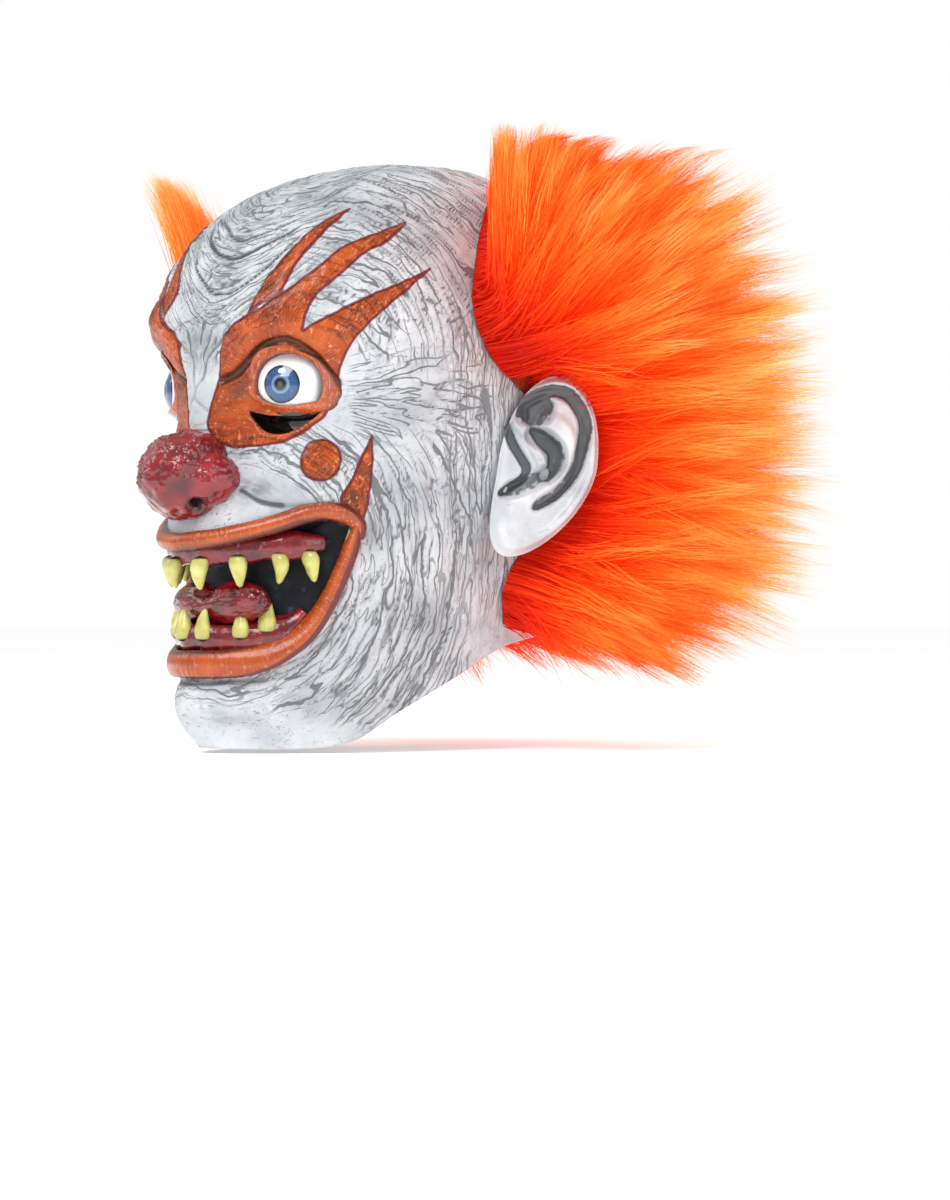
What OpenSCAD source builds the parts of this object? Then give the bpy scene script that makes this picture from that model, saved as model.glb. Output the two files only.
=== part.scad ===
// Over-the-head latex clown mask: a hollow latex skin with bonded features and a
// collar of long-pile faux fur. +Z is up, the face looks along -Y, the wearer's
// left is +X, and Z = 0 is the level of the chin's underside. The origin is the
// middle of the neck opening at that level.

/* [Head] */
// Height from the underside of the chin to the crown
head_h = 285; // [275:1:295]
// Width across the temples
head_w = 168; // [160:1:176]
// Length from the brow to the back of the skull
head_l = 215; // [207:1:223]
// Thickness of the latex
skin_t = 2.4; // [2:0.1:3]

/* [Eyes] */
// Distance between the middles of the eyes
eye_gap = 85; // [82:1:88]
// Height of the middle of the eyes
eye_z = 173.5; // [171:0.5:176]
// Radius of the eye dome
eye_r = 21; // [20:0.5:22]
// Width of a vision slit below the eye
slit_w = 28; // [24:1:30]
// Greatest height of a vision slit
slit_h = 9; // [7:0.5:10]

/* [Nose] */
// Width of the ball nose
nose_w = 50; // [44:1:54]
// Height of the ball nose
nose_h = 45; // [40:1:48]
// How far the ball's middle stands in front of the face
nose_out = 3; // [0:1:6]

/* [Mouth] */
// Half the width of the opening between the lips
mouth_r = 57; // [54:1:58]
// Thickness of the lips
lip_t = 9; // [8:0.5:10]
// How deep the painted mouth pan sits behind the lips
pan_depth = 16; // [12:1:20]
// Length of a tooth
tooth_l = 15; // [12:0.5:17]
// Radius of a tooth at the gum
tooth_r = 4.3; // [3.5:0.1:4.8]

/* [Ears] */
// Height of an ear
ear_h = 87; // [80:1:92]
// Width of an ear
ear_w = 48; // [44:1:52]
// Angle by which an ear stands out from the side of the head
ear_splay = 35; // [25:1:40]

/* [Fur] */
// Length of the fur's pile
pile = 126; // [100:1:135]
// Thickness of the knitted backing under the pile
backing_t = 1.2; // [1:0.1:1.6]

/* [Hidden] */

// Scale of each axis against the design size, and the design's fixed levels
kx = head_w / 168;
ky = head_l / 215;
kz = head_h / 285;
brow_z = 195;
crown_z = 285;
crown_y = 26;
dome_m = 2.2;
back_n = 2.1;
// u of the topmost ring, just short of the crown's pole
top_u = 1.97;
// Clearance between the latex and the fur's backing, and between two pieces of fur
skin_gap = 0.3;
LEFT = 1;
RIGHT = -1;

// The head below the brow, from the chin up. Each row is a height, the front of
// the face, the back of the neck or skull, the half width, and the squareness of
// the front of the section (2 is an ellipse).
PROFILE = [
    [0, -107, 66, 60, 1.80],
    [12, -115, 67, 64, 1.80],
    [26, -118, 68, 66, 1.85],
    [50, -120, 73, 69, 1.88],
    [75, -121, 80, 74, 1.92],
    [100, -120, 87, 78, 1.95],
    [130, -114, 93, 82, 2.02],
    [155, -110, 98, 83, 2.08],
    [176, -111, 100, 84, 2.35],
    [195, -115, 100, 84, 2.60]
];

// Soft bulges and hollows of the face: middle in X and Z, spread in X and Z, and
// how far the middle stands out. Each one at X > 0 is repeated at -X.
BULGES = [
    [34, 205, 24, 9, 5],
    [0, 196, 9, 12, -2],
    [45, 172, 17, 14, -5],
    [0, 160, 10, 20, 7],
    [50, 134, 18, 15, 5],
    [0, 88, 30, 26, 4],
    [0, 18, 26, 13, 6],
    [0, 35, 24, 5, -4]
];

// ---- Numbers and curves --------------------------------------------------

function unit(v) = v / norm(v);
function sq(v) = v * v;

// Smooth curve through column c of a table whose first column rises
function slope(tab, c, i) =
    let (a = max(i - 1, 0), b = min(i + 1, len(tab) - 1))
    (tab[b][c] - tab[a][c]) / (tab[b][0] - tab[a][0]);
function row_of(tab, x, i = 0) =
    i >= len(tab) - 2 || x < tab[i + 1][0] ? i : row_of(tab, x, i + 1);
function curve(tab, c, x) =
    let (
        xc = min(max(x, tab[0][0]), tab[len(tab) - 1][0]),
        i = row_of(tab, xc),
        h = tab[i + 1][0] - tab[i][0],
        t = (xc - tab[i][0]) / h
    )
    tab[i][c] * (1 + 2 * t) * sq(1 - t)
    + tab[i + 1][c] * sq(t) * (3 - 2 * t)
    + slope(tab, c, i) * h * t * sq(1 - t)
    - slope(tab, c, i + 1) * h * sq(t) * (1 - t);

// ---- The head's surface, in design sizes ---------------------------------

// Share of the brow's section that is left at height z in the dome
function dome_k(z) =
    z <= brow_z ? 1
    : pow(1 - pow(min(z - brow_z, crown_z - brow_z) / (crown_z - brow_z), dome_m), 1 / dome_m);
function front_r(z) = (crown_y - curve(PROFILE, 1, z)) * dome_k(z);
function back_r(z) = (curve(PROFILE, 2, z) - crown_y) * dome_k(z);
function side_r(z) = curve(PROFILE, 3, z) * dome_k(z);
function front_n(z) = curve(PROFILE, 4, z);

function bulge(x, z) =
    [for (b = BULGES) b[4] * exp(-sq((abs(x) - b[0]) / b[2]) - sq((z - b[1]) / b[3]))]
    * [for (b = BULGES) 1];

// Front of the face at x and z
function face_y(x, z) =
    let (n = front_n(z), s = min(abs(x) / side_r(z), 0.999))
    crown_y - front_r(z) * pow(1 - pow(s, n), 1 / n) - bulge(x, z);

// Point of the section at height z, a degrees round from the front
function section(a, z) =
    let (
        front = cos(a) > 0,
        n = front ? front_n(z) : back_n,
        depth = front ? front_r(z) : back_r(z),
        r = pow(pow(abs(sin(a)) / side_r(z), n) + pow(abs(cos(a)) / depth, n), -1 / n)
    )
    [r * sin(a), crown_y - r * cos(a) - (front ? bulge(r * sin(a), z) : 0), z];

// The lower edge rises from the chin to the nape
EDGE = [[0, 0], [20, 0], [30, 4], [42, 17], [62, 33], [88, 49], [130, 54], [180, 55]];
function edge_z(a) = curve(EDGE, 1, min(abs(a), 360 - abs(a)));

// u runs from 0 at the lower edge through 1 at the brow to 2 at the crown
function head(a, u) =
    u <= 1
    ? section(a, edge_z(a) + u * (brow_z - edge_z(a)))
    : section(a, brow_z + (crown_z - brow_z) * pow(sin(90 * (min(u, 1.995) - 1)), 2 / dome_m));
function head_normal(a, u) =
    let (d = 0.01)
    unit(cross(head(a + 1, u) - head(a - 1, u), head(a, min(u + d, 1.99)) - head(a, max(u - d, 0))));
// The same surface moved out by d, and scaled to the head's size
function scaled(p) = [p[0] * kx, p[1] * ky, p[2] * kz];
function skin(a, u, d = 0) = scaled(head(a, u)) + d * head_normal(a, u);

// u of the surface at height z
function u_of(a, z) =
    z <= brow_z
    ? (z - edge_z(a)) / (brow_z - edge_z(a))
    : 1 + asin(pow((z - brow_z) / (crown_z - brow_z), dome_m / 2)) / 90;

// ---- Solids from rows of points ------------------------------------------

// Closed solid over rings of points, each end closed with a fan
module ring_solid(rings) {
    n = len(rings[0]);
    m = len(rings);
    mid = [for (r = [rings[0], rings[m - 1]]) [for (p = r) 1 / n] * r];
    faces = [
        for (j = [0:m - 2]) for (i = [0:n - 1])
            let (a = j * n + i, b = j * n + (i + 1) % n)
            each [[a, b, a + n], [b, b + n, a + n]],
        for (i = [0:n - 1]) [m * n, (i + 1) % n, i],
        for (i = [0:n - 1]) let (k = (m - 1) * n) [m * n + 1, k + i, k + (i + 1) % n]
    ];
    polyhedron(concat([for (r = rings) each r], mid), faces);
}

// Closed solid between two sheets, each a grid of rows of points
module sheet_solid(outer, inner) {
    n = len(outer[0]);
    rings = [
        for (j = [0:len(outer) - 1])
            concat(outer[j], [for (i = [n - 1:-1:0]) inner[j][i]])
    ];
    m = len(rings);
    w = 2 * n;
    faces = [
        for (j = [0:m - 2]) for (i = [0:w - 1])
            let (a = j * w + i, b = j * w + (i + 1) % w)
            each [[a, b, a + w], [b, b + w, a + w]],
        for (i = [0:n - 2]) each [[i + 1, i, w - 1 - i], [i + 1, w - 1 - i, w - 2 - i]],
        for (i = [0:n - 2])
            let (k = (m - 1) * w)
            each [[k + i, k + i + 1, k + w - 1 - i], [k + i + 1, k + w - 2 - i, k + w - 1 - i]]
    ];
    polyhedron([for (r = rings) each r], faces);
}

// Tube along a path, wide and deep across it; up is the section's width direction
module tube(path, wide, deep, sides = 10) {
    last = len(path) - 1;
    ring_solid([
        for (i = [0:last])
            let (
                t = unit(path[min(i + 1, last)] - path[max(i - 1, 0)]),
                out = unit(cross(t, [0, -1, 0])),
                front = cross(out, t),
                end = min(1, 0.45 + 0.3 * min(i, last - i))
            )
            [for (s = [0:sides - 1])
                let (a = 360 * s / sides)
                path[i] + end * (wide / 2 * cos(a) * out + deep / 2 * sin(a) * front)]
    ]);
}

// Egg-shaped solid with its own radii
module egg(c, r, sides = 28, rows = 14) {
    ring_solid([
        for (j = [0:rows])
            let (b = -90 + 180 * (j + 0.15) / (rows + 0.3))
            [for (i = [0:sides - 1])
                let (a = 360 * i / sides)
                c + [r[0] * cos(b) * cos(a), r[1] * cos(b) * sin(a), r[2] * sin(b)]]
    ]);
}

// ---- Latex skin ----------------------------------------------------------

skin_sides = 60;
skin_rows = 30;
cut_reach = 200;

// The slit's middle, and how far its corners turn up
slit_x = eye_gap / 2 - 3.5;
slit_z = 157;
slit_curl = 3;

// Vision slit: a crescent under the lower eyelid
module slit(side) {
    steps = 12;
    ts = [for (i = [0:steps]) 2 * i / steps - 1];
    translate([side * slit_x * kx, 0, slit_z * kz])
        rotate([90, 0, 0])
            linear_extrude(cut_reach)
                polygon(concat(
                    [for (t = ts) [slit_w / 2 * t, slit_curl * sq(t)]],
                    [for (i = [steps - 1:-1:1])
                        [slit_w / 2 * ts[i], slit_curl * sq(ts[i]) - slit_h * (1 - sq(ts[i]))]]
                ));
}

// Edges of the mouth opening, as heights over x: the middle's height, the rise to
// the corners, and how late it rises
mouth_top_z = 92.5;
mouth_top_rise = 18;
mouth_low_z = 47;
mouth_low_rise = 62;
mouth_low_n = 5;
function mouth_top(x) = mouth_top_z + mouth_top_rise * sq(x / mouth_r);
function mouth_low(x) = mouth_low_z + mouth_low_rise * pow(abs(x) / mouth_r, mouth_low_n);

module mouth_opening() {
    steps = 16;
    xs = [for (i = [0:steps]) mouth_r * sin(90 * (2 * i / steps - 1))];
    rotate([90, 0, 0])
        linear_extrude(cut_reach)
            polygon(concat(
                [for (i = [0:steps]) [xs[i] * kx, mouth_low(xs[i]) * kz]],
                [for (i = [steps - 1:-1:1]) [xs[i] * kx, mouth_top(xs[i]) * kz]]
            ));
}

module latex_skin() {
    rows = [for (j = [0:skin_rows]) top_u * j / skin_rows];
    angles = [for (i = [0:skin_sides - 1]) 360 * i / skin_sides];
    color([0.87, 0.88, 0.9])
        difference() {
            ring_solid(concat(
                [for (j = [skin_rows:-1:0]) [for (a = angles) skin(a, rows[j], -skin_t)]],
                [for (j = [0:skin_rows]) [for (a = angles) skin(a, rows[j])]]
            ));
            slit(LEFT);
            slit(RIGHT);
            mouth_opening();
        }
}

// ---- Ears ----------------------------------------------------------------

// Where the left ear's front edge meets the head, and how far its top leans back
ear_root = [84, 2, 134.5];
ear_lean = 0.16;
ear_t = 3;

// Half width and half height of the ear's outline, a degrees round from its back
// edge: wider above the middle than at the lobe
function ear_edge(a) =
    [ear_w / 2 * cos(a) * (1 + 0.12 * sin(a)), ear_h / 2 * sin(a) * (1 - 0.05 * cos(a))];
// Front face of the ear: a rolled rim round a hollow
function ear_front(q) = 6 * exp(-sq((q - 0.86) / 0.13)) - 4 * exp(-sq(q / 0.5)) + 3 * (1 - q);

module ear(side) {
    sides = 32;
    rings = [0.12, 0.35, 0.55, 0.7, 0.8, 0.88, 0.95, 1];
    along = [side * sin(ear_splay), cos(ear_splay), 0];
    out = [side * cos(ear_splay), -sin(ear_splay), 0];
    lean = [0, ear_lean, 1];
    root = scaled([side * ear_root[0], ear_root[1], ear_root[2]]);
    place = function (q, a, d)
        let (e = ear_edge(a) * q)
        root + along * (ear_w / 2 + e[0]) + lean * e[1] + out * d;
    color([0.87, 0.88, 0.9])
        ring_solid(concat(
            [for (q = rings)
                [for (i = [0:sides - 1]) place(q, side * 360 * i / sides, ear_t / 2 + ear_front(q))]],
            [for (j = [len(rings) - 1:-1:0])
                let (q = rings[j])
                [for (i = [0:sides - 1]) place(q * 0.97, side * 360 * i / sides, -ear_t * q)]]
        ));
}
module ear_left() { ear(LEFT); }
module ear_right() { ear(RIGHT); }

// ---- Nose and eyes -------------------------------------------------------

nose_z = 129;

module nose() {
    color([0.5, 0.06, 0.09])
        egg(
            [0, (face_y(0, nose_z) - nose_out) * ky, nose_z * kz],
            [nose_w / 2, nose_w / 2 + 1, nose_h / 2]
        );
}

// Each dome sits a little nearer the nose than its lids, turned out by eye_turn. It
// stands eye_out in front of the face and eye_back of it is kept
eye_x = eye_gap / 2;
eye_shift = 1.5;
eye_turn = 18;
eye_out = 10;
eye_back = 9;
lid_w = 30;
lid_h = 27;
lid_t = 5;

module eye(side) {
    color([0.95, 0.95, 0.96])
        translate([
            side * (eye_x - eye_shift) * kx,
            (face_y(eye_x - eye_shift, eye_z) - eye_out) * ky,
            eye_z * kz
        ])
            rotate([0, 0, side * eye_turn])
                intersection() {
                    translate([0, eye_r, 0])
                        sphere(eye_r, $fn = 48);
                    translate([-eye_r, -1, -eye_r])
                        cube([2 * eye_r, eye_back + 1, 2 * eye_r]);
                }
}
module eye_left() { eye(LEFT); }
module eye_right() { eye(RIGHT); }

// Raised rim round the almond opening
module eyelids(side) {
    steps = 28;
    color([0.78, 0.33, 0.12])
        tube(
            [for (i = [0:steps])
                let (
                    a = 180 + 358 * i / steps,
                    x = eye_x + lid_w / 2 * cos(a),
                    z = eye_z + lid_h / 2 * sin(a)
                )
                [side * x * kx, (face_y(x, z) - 1) * ky, z * kz]],
            lid_t, lid_t, 8
        );
}
module eyelids_left() { eyelids(LEFT); }
module eyelids_right() { eyelids(RIGHT); }

// ---- Mouth ---------------------------------------------------------------

// The lips' middle lines: half width, and the height and rise of each
lip_r = mouth_r + lip_t / 2 - 2;
lip_low_z = 40;
lip_low_rise = 68;
lip_low_n = 4.6;
lip_top_z = 97.5;
lip_top_rise = 17;
lip_low_extra = 4;
// Heights of the teeth's roots: the lower ones over the opening's edge, the upper
// ones in a shallow arch
tooth_low_lift = 5;
tooth_top_z = 89.5;
tooth_top_rise = 5;
gum_front = 7;
gum_top_lift = 2;

module lip(low) {
    steps = 30;
    color([0.78, 0.33, 0.12])
        tube(
            [for (i = [0:steps])
                let (
                    s = sin(90 * (2 * i / steps - 1)),
                    x = lip_r * s,
                    z = low
                        ? lip_low_z + lip_low_rise * pow(abs(s), lip_low_n)
                        : lip_top_z + lip_top_rise * sq(s)
                )
                [x * kx, (face_y(x, z) - 1) * ky, z * kz]],
            lip_t + (low ? lip_low_extra : 0), lip_t
        );
}
module lip_upper() { lip(false); }
module lip_lower() { lip(true); }

// Dished liner that closes the opening from behind
module mouth_pan() {
    sides = 36;
    lap = 3;
    middle_z = 76;
    rings = [0.08, 0.3, 0.55, 0.75, 0.88, 0.96, 1];
    place = function (q, i, d)
        let (
            a = 360 * i / sides,
            x = mouth_r * cos(a),
            z = sin(a) > 0 ? mouth_top(x) + lap : mouth_low(x) - lap,
            px = q * (mouth_r + lap) * cos(a),
            pz = middle_z + q * (z - middle_z)
        )
        [px * kx, (face_y(px, pz) + skin_t + 1 + pan_depth * (1 - pow(q, 4)) + d) * ky, pz * kz];
    color([0.1, 0.12, 0.18])
        ring_solid(concat(
            [for (q = rings) [for (i = [0:sides - 1]) place(q, i, 0)]],
            [for (j = [len(rings) - 1:-1:0]) [for (i = [0:sides - 1]) place(rings[j], i, 2)]]
        ));
}

// Height of a tooth's root at x
function tooth_root(x, low) =
    low ? mouth_low(x) + tooth_low_lift : tooth_top_z + tooth_top_rise * sq(x / mouth_r);

module gum(low) {
    steps = 18;
    color([0.55, 0.05, 0.1])
        tube(
            [for (i = [0:steps])
                let (
                    x = (low ? 42 : 50) * (2 * i / steps - 1),
                    z = tooth_root(x, low) + (low ? 0 : gum_top_lift)
                )
                [x * kx, (face_y(x, z) + gum_front) * ky, z * kz]],
            10, 8
        );
}
module gum_upper() { gum(false); }
module gum_lower() { gum(true); }

tongue_z = 68;

module tongue() {
    color([0.5, 0.05, 0.1])
        egg([0, (face_y(0, tongue_z) + pan_depth) * ky, tongue_z * kz], [30, 12, 9], 24, 10);
}

// Pointed tooth, its root at the origin and its tip along +Z
module tooth() {
    cylinder(tooth_l * 0.55, tooth_r, tooth_r * 0.85, $fn = 24);
    translate([0, 0, tooth_l * 0.55])
        cylinder(tooth_l * 0.45, tooth_r * 0.85, tooth_r * 0.3, $fn = 24);
}
module teeth(xs, low) {
    color([0.87, 0.86, 0.5])
        for (side = [LEFT, RIGHT])
            for (x = xs) {
                z = tooth_root(x, low);
                translate([side * x * kx, (face_y(x, z) + 3) * ky, z * kz])
                    rotate([low ? 0 : 180, 0, 0])
                        tooth();
            }
}
module teeth_upper() { teeth([9, 25, 39, 48], false); }
module teeth_lower() { teeth([6.5, 23.5, 33], true); }

// ---- Fur -----------------------------------------------------------------

// The fur's front edge runs from the jaw, round behind the ear and up the temple to
// the crown: height, angle round from the front, and the pile's rise and share of
// its full length there
FUR = [
    [58, 83, -12, 0.62],
    [80, 81, -7, 0.86],
    [100, 92, -3, 1],
    [130, 100, 3, 1],
    [160, 97, 9, 1],
    [178, 76, 13, 1],
    [205, 65, 22, 0.95],
    [232, 67, 29, 0.82],
    [256, 76, 36, 0.52],
    [272, 95, 48, 0.30]
];
fur_low = 59;
fur_high = 271;
// The side pieces meet the back piece at these angles, seam_gap degrees apart on
// each side of the seam
fur_seam = 152;
seam_gap = 0.3;

function fur_edge(z) = curve(FUR, 1, z);

// The right side lies flatter than the left: 0 on the left, 1 on the right
function flat_side(a, z) =
    sq(sin(90 * min(1, max(0, (a - 140) / 60)))) * sq(sin(90 * min(1, max(0, (z - 215) / 25))));

// Grid over one piece of fur. from and to give its end angles at a height, and
// point gives the point at an angle and a height
function fur_grid(from, to, cols, rows, point) =
    [for (j = [0:rows])
        let (z = fur_low + (fur_high - fur_low) * j / rows)
        [for (i = [0:cols]) point(from(z) + (to(z) - from(z)) * i / cols, z)]];

function fur_root(a, z, d) = skin(a, u_of(a, z), d);
function fur_tip(a, z) =
    let (
        flat = flat_side(a, z),
        rise = curve(FUR, 2, z) * (1 - 0.85 * flat),
        turn = min(a, 360 - a),
        sweep = 180 - 0.8 * (180 - turn),
        side = a < 180 ? 1 : -1,
        spread = 0.8 + 0.2 * sq(sin(min(90, max(0, (turn - 80) * 1.5)))),
        reach = pile * curve(FUR, 3, z) * spread * (1 - 0.35 * flat)
    )
    fur_root(a, z, 0) + reach * [side * sin(sweep) * cos(rise), -cos(sweep) * cos(rise), sin(rise)];

// One piece of the fur: its backing against the latex, or the pile on that
module fur_piece(from, to, cols, is_backing) {
    rows = 15;
    base = is_backing ? skin_gap : 2 * skin_gap + backing_t;
    inner = function (a, z) fur_root(a, z, base);
    outer = function (a, z) is_backing ? fur_root(a, z, base + backing_t) : fur_tip(a, z);
    sheet_solid(fur_grid(from, to, cols, rows, inner), fur_grid(from, to, cols, rows, outer));
}
side_cols = 11;
middle_cols = 8;
module fur_side_left(is_backing) {
    fur_piece(function (z) fur_edge(z), function (z) fur_seam - seam_gap, side_cols, is_backing);
}
module fur_side_right(is_backing) {
    fur_piece(
        function (z) 360 - fur_seam + seam_gap, function (z) 360 - fur_edge(z),
        side_cols, is_backing
    );
}
module fur_middle(is_backing) {
    fur_piece(
        function (z) fur_seam + seam_gap, function (z) 360 - fur_seam - seam_gap,
        middle_cols, is_backing
    );
}

module fur_backing_left() { color([0.6, 0.2, 0.1]) fur_side_left(true); }
module fur_backing_right() { color([0.6, 0.2, 0.1]) fur_side_right(true); }
module fur_backing_back() { color([0.6, 0.2, 0.1]) fur_middle(true); }
module fur_left() { color([1, 0.42, 0.1]) fur_side_left(false); }
module fur_right() { color([1, 0.42, 0.1]) fur_side_right(false); }
module fur_back() { color([1, 0.42, 0.1]) fur_middle(false); }

// ---- The mask ------------------------------------------------------------

latex_skin();
ear_left();
ear_right();
nose();
eye_left();
eye_right();
eyelids_left();
eyelids_right();
lip_upper();
lip_lower();
mouth_pan();
gum_upper();
gum_lower();
tongue();
teeth_upper();
teeth_lower();
fur_backing_left();
fur_backing_right();
fur_backing_back();
fur_left();
fur_right();
fur_back();
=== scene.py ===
"""Looks of the over-the-head latex clown mask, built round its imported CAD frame.

Sizes are in millimetres in the shape code and become metres when a mesh is made. The
head's surface is addressed by an angle a round from the front of the face, in degrees
and positive on the wearer's left, and a height z.
"""
import itertools
import math

import bpy
import numpy as np
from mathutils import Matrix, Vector


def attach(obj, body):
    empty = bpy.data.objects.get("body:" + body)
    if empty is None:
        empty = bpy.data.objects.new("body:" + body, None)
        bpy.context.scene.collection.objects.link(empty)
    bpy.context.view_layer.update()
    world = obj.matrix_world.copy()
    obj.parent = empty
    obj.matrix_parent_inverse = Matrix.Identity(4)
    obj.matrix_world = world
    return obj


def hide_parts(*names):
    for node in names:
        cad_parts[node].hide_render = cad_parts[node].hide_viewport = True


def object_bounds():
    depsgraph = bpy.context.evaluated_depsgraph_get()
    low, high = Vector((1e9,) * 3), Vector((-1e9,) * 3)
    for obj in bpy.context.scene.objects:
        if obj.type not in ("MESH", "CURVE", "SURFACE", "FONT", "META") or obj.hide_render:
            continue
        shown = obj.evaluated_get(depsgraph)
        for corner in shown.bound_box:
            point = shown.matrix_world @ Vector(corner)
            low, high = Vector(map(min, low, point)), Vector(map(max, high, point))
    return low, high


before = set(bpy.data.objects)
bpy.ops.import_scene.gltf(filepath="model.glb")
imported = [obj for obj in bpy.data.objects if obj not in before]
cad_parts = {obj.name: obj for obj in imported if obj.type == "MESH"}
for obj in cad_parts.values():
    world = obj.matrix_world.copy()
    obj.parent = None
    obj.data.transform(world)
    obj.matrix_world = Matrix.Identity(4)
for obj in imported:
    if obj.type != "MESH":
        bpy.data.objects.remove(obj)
CAD_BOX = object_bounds()

MM = 0.001
SEED = 11
# The wearer's left is positive in X
SIDE_NAMES = {1: "left", -1: "right"}
# Names of the upper and the lower lip, gum and teeth
ROW_NAMES = ("upper", "lower")

# ---- The head, as in the CAD model -------------------------------------------------

BROW_Z = 195.0
CROWN_Z = 285.0
CROWN_Y = 26.0
DOME_POWER = 2.2
BACK_POWER = 2.1
SKIN_T = 2.4

# Height, front of the face, back of the head, half width, squareness of the front
PROFILE = np.array([
    [0, -107, 66, 60, 1.80], [12, -115, 67, 64, 1.80], [26, -118, 68, 66, 1.85],
    [50, -120, 73, 69, 1.88], [75, -121, 80, 74, 1.92], [100, -120, 87, 78, 1.95],
    [130, -114, 93, 82, 2.02], [155, -110, 98, 83, 2.08], [176, -111, 100, 84, 2.35],
    [195, -115, 100, 84, 2.60],
])
# Middle in X and Z, spread in X and Z, height, of each soft form of the face
BULGES = [
    (34, 205, 24, 9, 5), (0, 196, 9, 12, -2), (45, 172, 17, 14, -5), (0, 160, 10, 20, 7),
    (50, 134, 18, 15, 5), (0, 88, 30, 26, 4), (0, 18, 26, 13, 6), (0, 35, 24, 5, -4),
]
# Height of the lower edge by angle
EDGE = np.array([[0, 0], [20, 0], [30, 4], [42, 17], [62, 33], [88, 49], [130, 54], [180, 55.0]])


def curve(table, column, x):
    """Smooth curve through a column of a table whose first column rises."""
    xs = table[:, 0]
    ys = table[:, column]
    last = len(xs) - 1
    low = np.maximum(np.arange(last + 1) - 1, 0)
    high = np.minimum(np.arange(last + 1) + 1, last)
    slope = (ys[high] - ys[low]) / (xs[high] - xs[low])
    x = np.clip(x, xs[0], xs[-1])
    i = np.clip(np.searchsorted(xs, x, side="right") - 1, 0, last - 1)
    h = xs[i + 1] - xs[i]
    t = (x - xs[i]) / h
    return (
        ys[i] * (1 + 2 * t) * (1 - t) ** 2
        + ys[i + 1] * t * t * (3 - 2 * t)
        + slope[i] * h * t * (1 - t) ** 2
        - slope[i + 1] * h * t * t * (1 - t)
    )


def smoothstep(low, high, x):
    t = np.clip((x - low) / (high - low), 0, 1)
    return t * t * (3 - 2 * t)


def bell(x):
    return np.exp(-x * x)


def dome(z):
    t = np.clip((z - BROW_Z) / (CROWN_Z - BROW_Z), 0, 1)
    return (1 - t ** DOME_POWER) ** (1 / DOME_POWER)


def bulge(x, z):
    return sum(h * bell((abs(x) - bx) / dx) * bell((z - bz) / dz) for bx, bz, dx, dz, h in BULGES)


def head(a, z):
    """Points of the head's outer surface."""
    turn = np.radians(a)
    z = z + 0.0 * turn
    is_front = np.cos(turn) > 0
    power = np.where(is_front, curve(PROFILE, 4, z), BACK_POWER)
    reach = np.where(is_front, CROWN_Y - curve(PROFILE, 1, z), curve(PROFILE, 2, z) - CROWN_Y)
    side = curve(PROFILE, 3, z) * dome(z) + 1e-6
    depth = reach * dome(z) + 1e-6
    r = (abs(np.sin(turn) / side) ** power + abs(np.cos(turn) / depth) ** power) ** (-1 / power)
    x = r * np.sin(turn)
    y = CROWN_Y - r * np.cos(turn) - np.where(is_front, bulge(x, z), 0)
    return np.stack([x, y, z], -1)


def head_normal(a, z):
    """Outward normal of the head's surface."""
    across = head(a + 0.5, z) - head(a - 0.5, z)
    up = head(a, np.minimum(z + 0.5, CROWN_Z - 0.1)) - head(a, z - 0.5)
    return unit(np.cross(across, up))


def face_y(x, z):
    """Y of the front of the face at x and z."""
    side = curve(PROFILE, 3, z) * dome(z)
    reach = (CROWN_Y - curve(PROFILE, 1, z)) * dome(z)
    power = curve(PROFILE, 4, z)
    share = np.minimum(abs(x) / side, 0.999)
    return CROWN_Y - reach * (1 - share ** power) ** (1 / power) - bulge(x, z)


def edge_z(a):
    return curve(EDGE, 1, abs((a + 180) % 360 - 180))


def unit(v):
    return v / (np.linalg.norm(v, axis=-1, keepdims=True) + 1e-12)


# ---- Smooth noise ------------------------------------------------------------------

SHUFFLE = np.random.default_rng(SEED).permutation(256)
LATTICE = unit(np.random.default_rng(SEED + 1).normal(size=(256, 3)))


def noise(p, seed=0):
    """Gradient noise, about -1 to 1, at points p."""
    p = np.asarray(p, float) + 17.3 * seed
    cell = np.floor(p).astype(int)
    f = p - cell
    fade = f * f * f * (f * (f * 6 - 15) + 10)
    total = 0.0
    for corner in itertools.product((0, 1), repeat=3):
        at = cell + corner
        key = SHUFFLE[(SHUFFLE[(SHUFFLE[at[..., 0] & 255] + at[..., 1]) & 255] + at[..., 2]) & 255]
        share = np.prod(np.where(np.array(corner) == 1, fade, 1 - fade), axis=-1)
        total = total + share * ((f - corner) * LATTICE[key]).sum(-1)
    return 1.6 * total


# ---- Making meshes -----------------------------------------------------------------


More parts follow.
